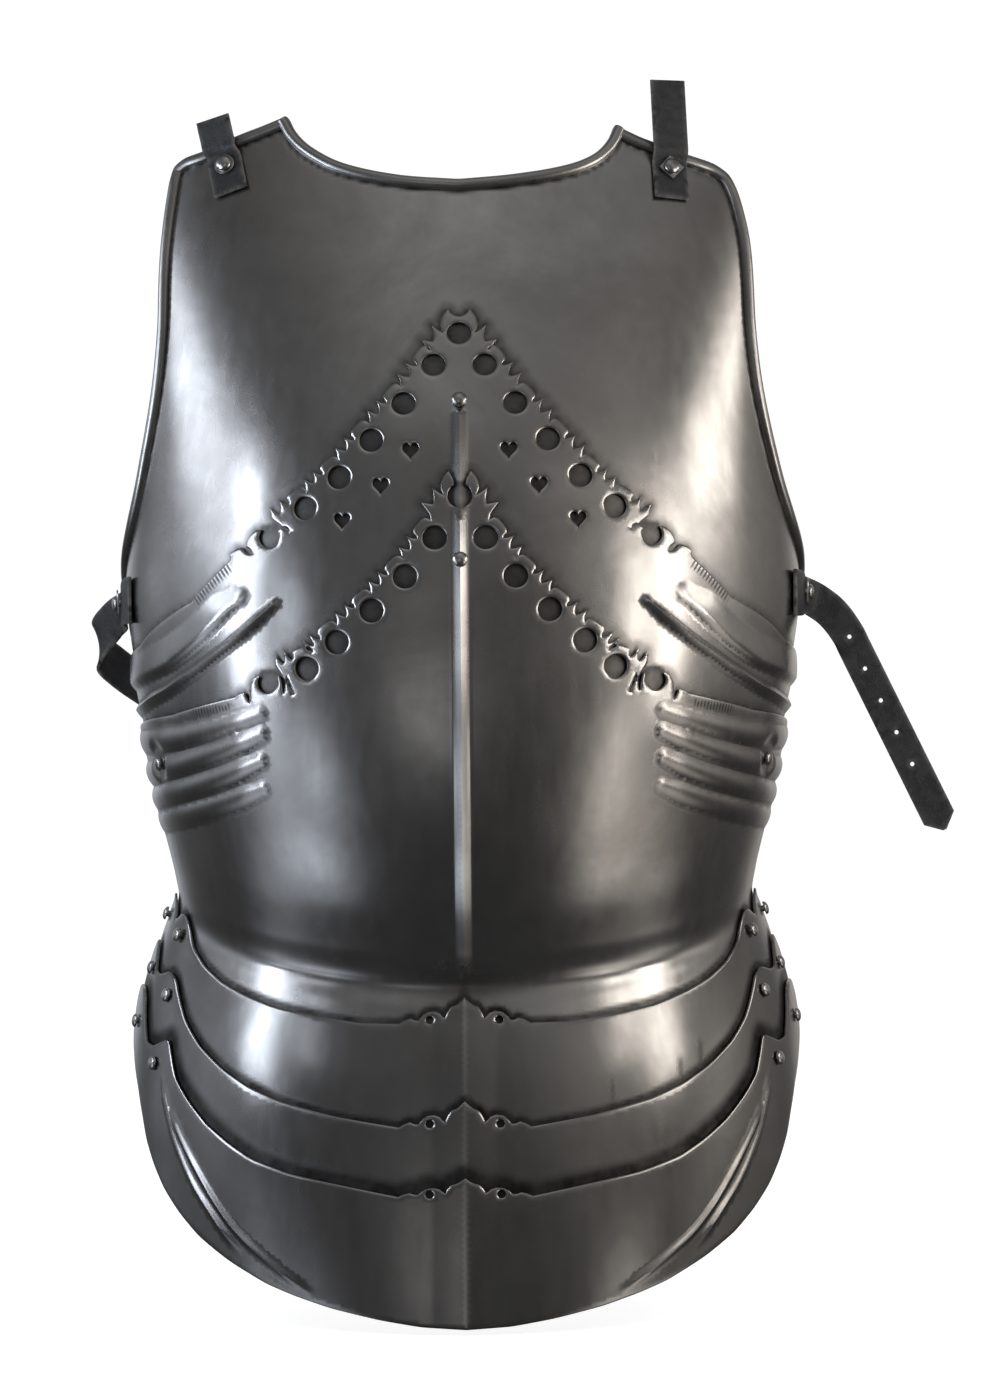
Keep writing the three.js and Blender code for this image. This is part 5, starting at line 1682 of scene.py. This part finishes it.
class BREASTPLATE_OT_stage(bpy.types.Operator):
    """Make the floor, the backdrop, the lights and the camera"""

    bl_idname = "breastplate.stage"
    bl_label = "Stage"

    def execute(self, context):
        self.sweep()
        self.lights(context.scene)
        self.camera(context.scene)
        return {"FINISHED"}

    @staticmethod
    def sweep():
        """A pale floor that curves up into a backdrop, far behind the object."""
        low = cad_box[0].z * 1000 - 3
        turn = np.linspace(0, math.pi / 2, 24)
        radius = 1500.0
        bend = 3000
        line = np.concatenate([
            [(-14000.0, low)],
            np.stack([bend + radius * np.sin(turn), low + radius * (1 - np.cos(turn))], -1),
            [(bend + radius, 6000.0)],
        ])
        across = np.array((-9000.0, 9000.0))
        points = np.stack([np.repeat(across[None], len(line), 0), np.repeat(line[:, :1], 2, 1),
                           np.repeat(line[:, 1:], 2, 1)], -1).reshape(-1, 3)
        at = np.arange(len(points)).reshape(-1, 2)
        quads = np.stack([at[:-1, 0], at[:-1, 1], at[1:, 1], at[1:, 0]], -1)
        paper = Finish("pale_paper", Roughness=0.9, Emission_Color=(1, 1, 1, 1), Emission_Strength=0.78)
        speck = paper.noise(40, 3)
        paper.set(paper.shader.inputs["Base Color"],
                  paper.blend(speck, (0.44, 0.44, 0.44), (0.46, 0.46, 0.46)))
        sweep = put_mesh("sweep", points, [quads], paper.material)
        sweep.visible_glossy = False
        sweep.visible_shadow = False

    @staticmethod
    def lights(scene):
        """Strip lamps beside the plate, a lamp overhead that only lights matt things, and the room."""
        for number, (azimuth, distance, height, width, length, glow, colour) in enumerate(STRIPS):
            name = f"strip_{number + 1}"
            lamp = bpy.data.lights.new(name, "AREA")
            lamp.shape = "RECTANGLE"
            lamp.size, lamp.size_y = width, length
            lamp.energy = 4 * width * length * glow
            lamp.color = colour
            light = bpy.data.objects.new(name, lamp)
            turn = azimuth * DEGREE
            light.location = (distance * math.sin(turn), -0.05 - distance * math.cos(turn), height)
            light.rotation_euler = (math.pi / 2, 0, turn)
            light.visible_camera = False
            scene.collection.objects.link(light)
        lamp = bpy.data.lights.new("overhead", "AREA")
        lamp.size = 2.6
        lamp.energy = 45
        light = bpy.data.objects.new("overhead", lamp)
        light.location = (0.1, -0.5, 2.3)
        light.rotation_euler = (0.2, 0.04, 0)
        light.visible_camera = False
        light.visible_glossy = False
        scene.collection.objects.link(light)
        scene.world = studio_room("studio_room")
        scene.view_settings.view_transform = "Standard"

    @staticmethod
    def camera(scene):
        """A long lens, level, a little to the right of the centre line."""
        lens = bpy.data.cameras.new("front_camera")
        lens.sensor_fit = "AUTO"
        lens.sensor_width = SENSOR
        lens.lens = SENSOR * CAMERA_AWAY / VIEW_HEIGHT
        lens.clip_start, lens.clip_end = 0.05, 50.0
        camera = bpy.data.objects.new("front_camera", lens)
        camera.location = (CAMERA_X, -CAMERA_AWAY / 1000, CAMERA_Z)
        camera.rotation_euler = (math.pi / 2, 0.5 * DEGREE, 0)
        scene.collection.objects.link(camera)
        scene.camera = camera


class BREASTPLATE_PT_panel(bpy.types.Panel):
    """Lists the pieces of the breastplate"""

    bl_label = "Breastplate"
    bl_idname = "BREASTPLATE_PT_panel"
    bl_space_type = "VIEW_3D"
    bl_region_type = "UI"
    bl_category = "Breastplate"

    def draw(self, context):
        layout = self.layout
        for operator in OPERATORS:
            layout.operator(operator.bl_idname)
        for group in (context.scene.breastplate_plates, context.scene.breastplate_finish):
            for name in group.bl_rna.properties.keys():
                if name not in ("rna_type", "name"):
                    layout.prop(group, name)


OPERATORS = [
    BREASTPLATE_OT_upper, BREASTPLATE_OT_middle, BREASTPLATE_OT_plackart, BREASTPLATE_OT_fauld,
    BREASTPLATE_OT_rivets, BREASTPLATE_OT_straps, BREASTPLATE_OT_stage,
]
CLASSES = [PlateSettings, FinishSettings, *OPERATORS, BREASTPLATE_PT_panel]


def register():
    for kind in CLASSES:
        bpy.utils.register_class(kind)
    bpy.types.Scene.breastplate_plates = bpy.props.PointerProperty(type=PlateSettings)
    bpy.types.Scene.breastplate_finish = bpy.props.PointerProperty(type=FinishSettings)


def unregister():
    del bpy.types.Scene.breastplate_plates
    del bpy.types.Scene.breastplate_finish
    for kind in reversed(CLASSES):
        bpy.utils.unregister_class(kind)


def main():
    """Registers the add-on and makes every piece."""
    register()
    for operator in OPERATORS:
        group, name = operator.bl_idname.split(".")
        getattr(getattr(bpy.ops, group), name)()


if __name__ == "__main__":
    main()
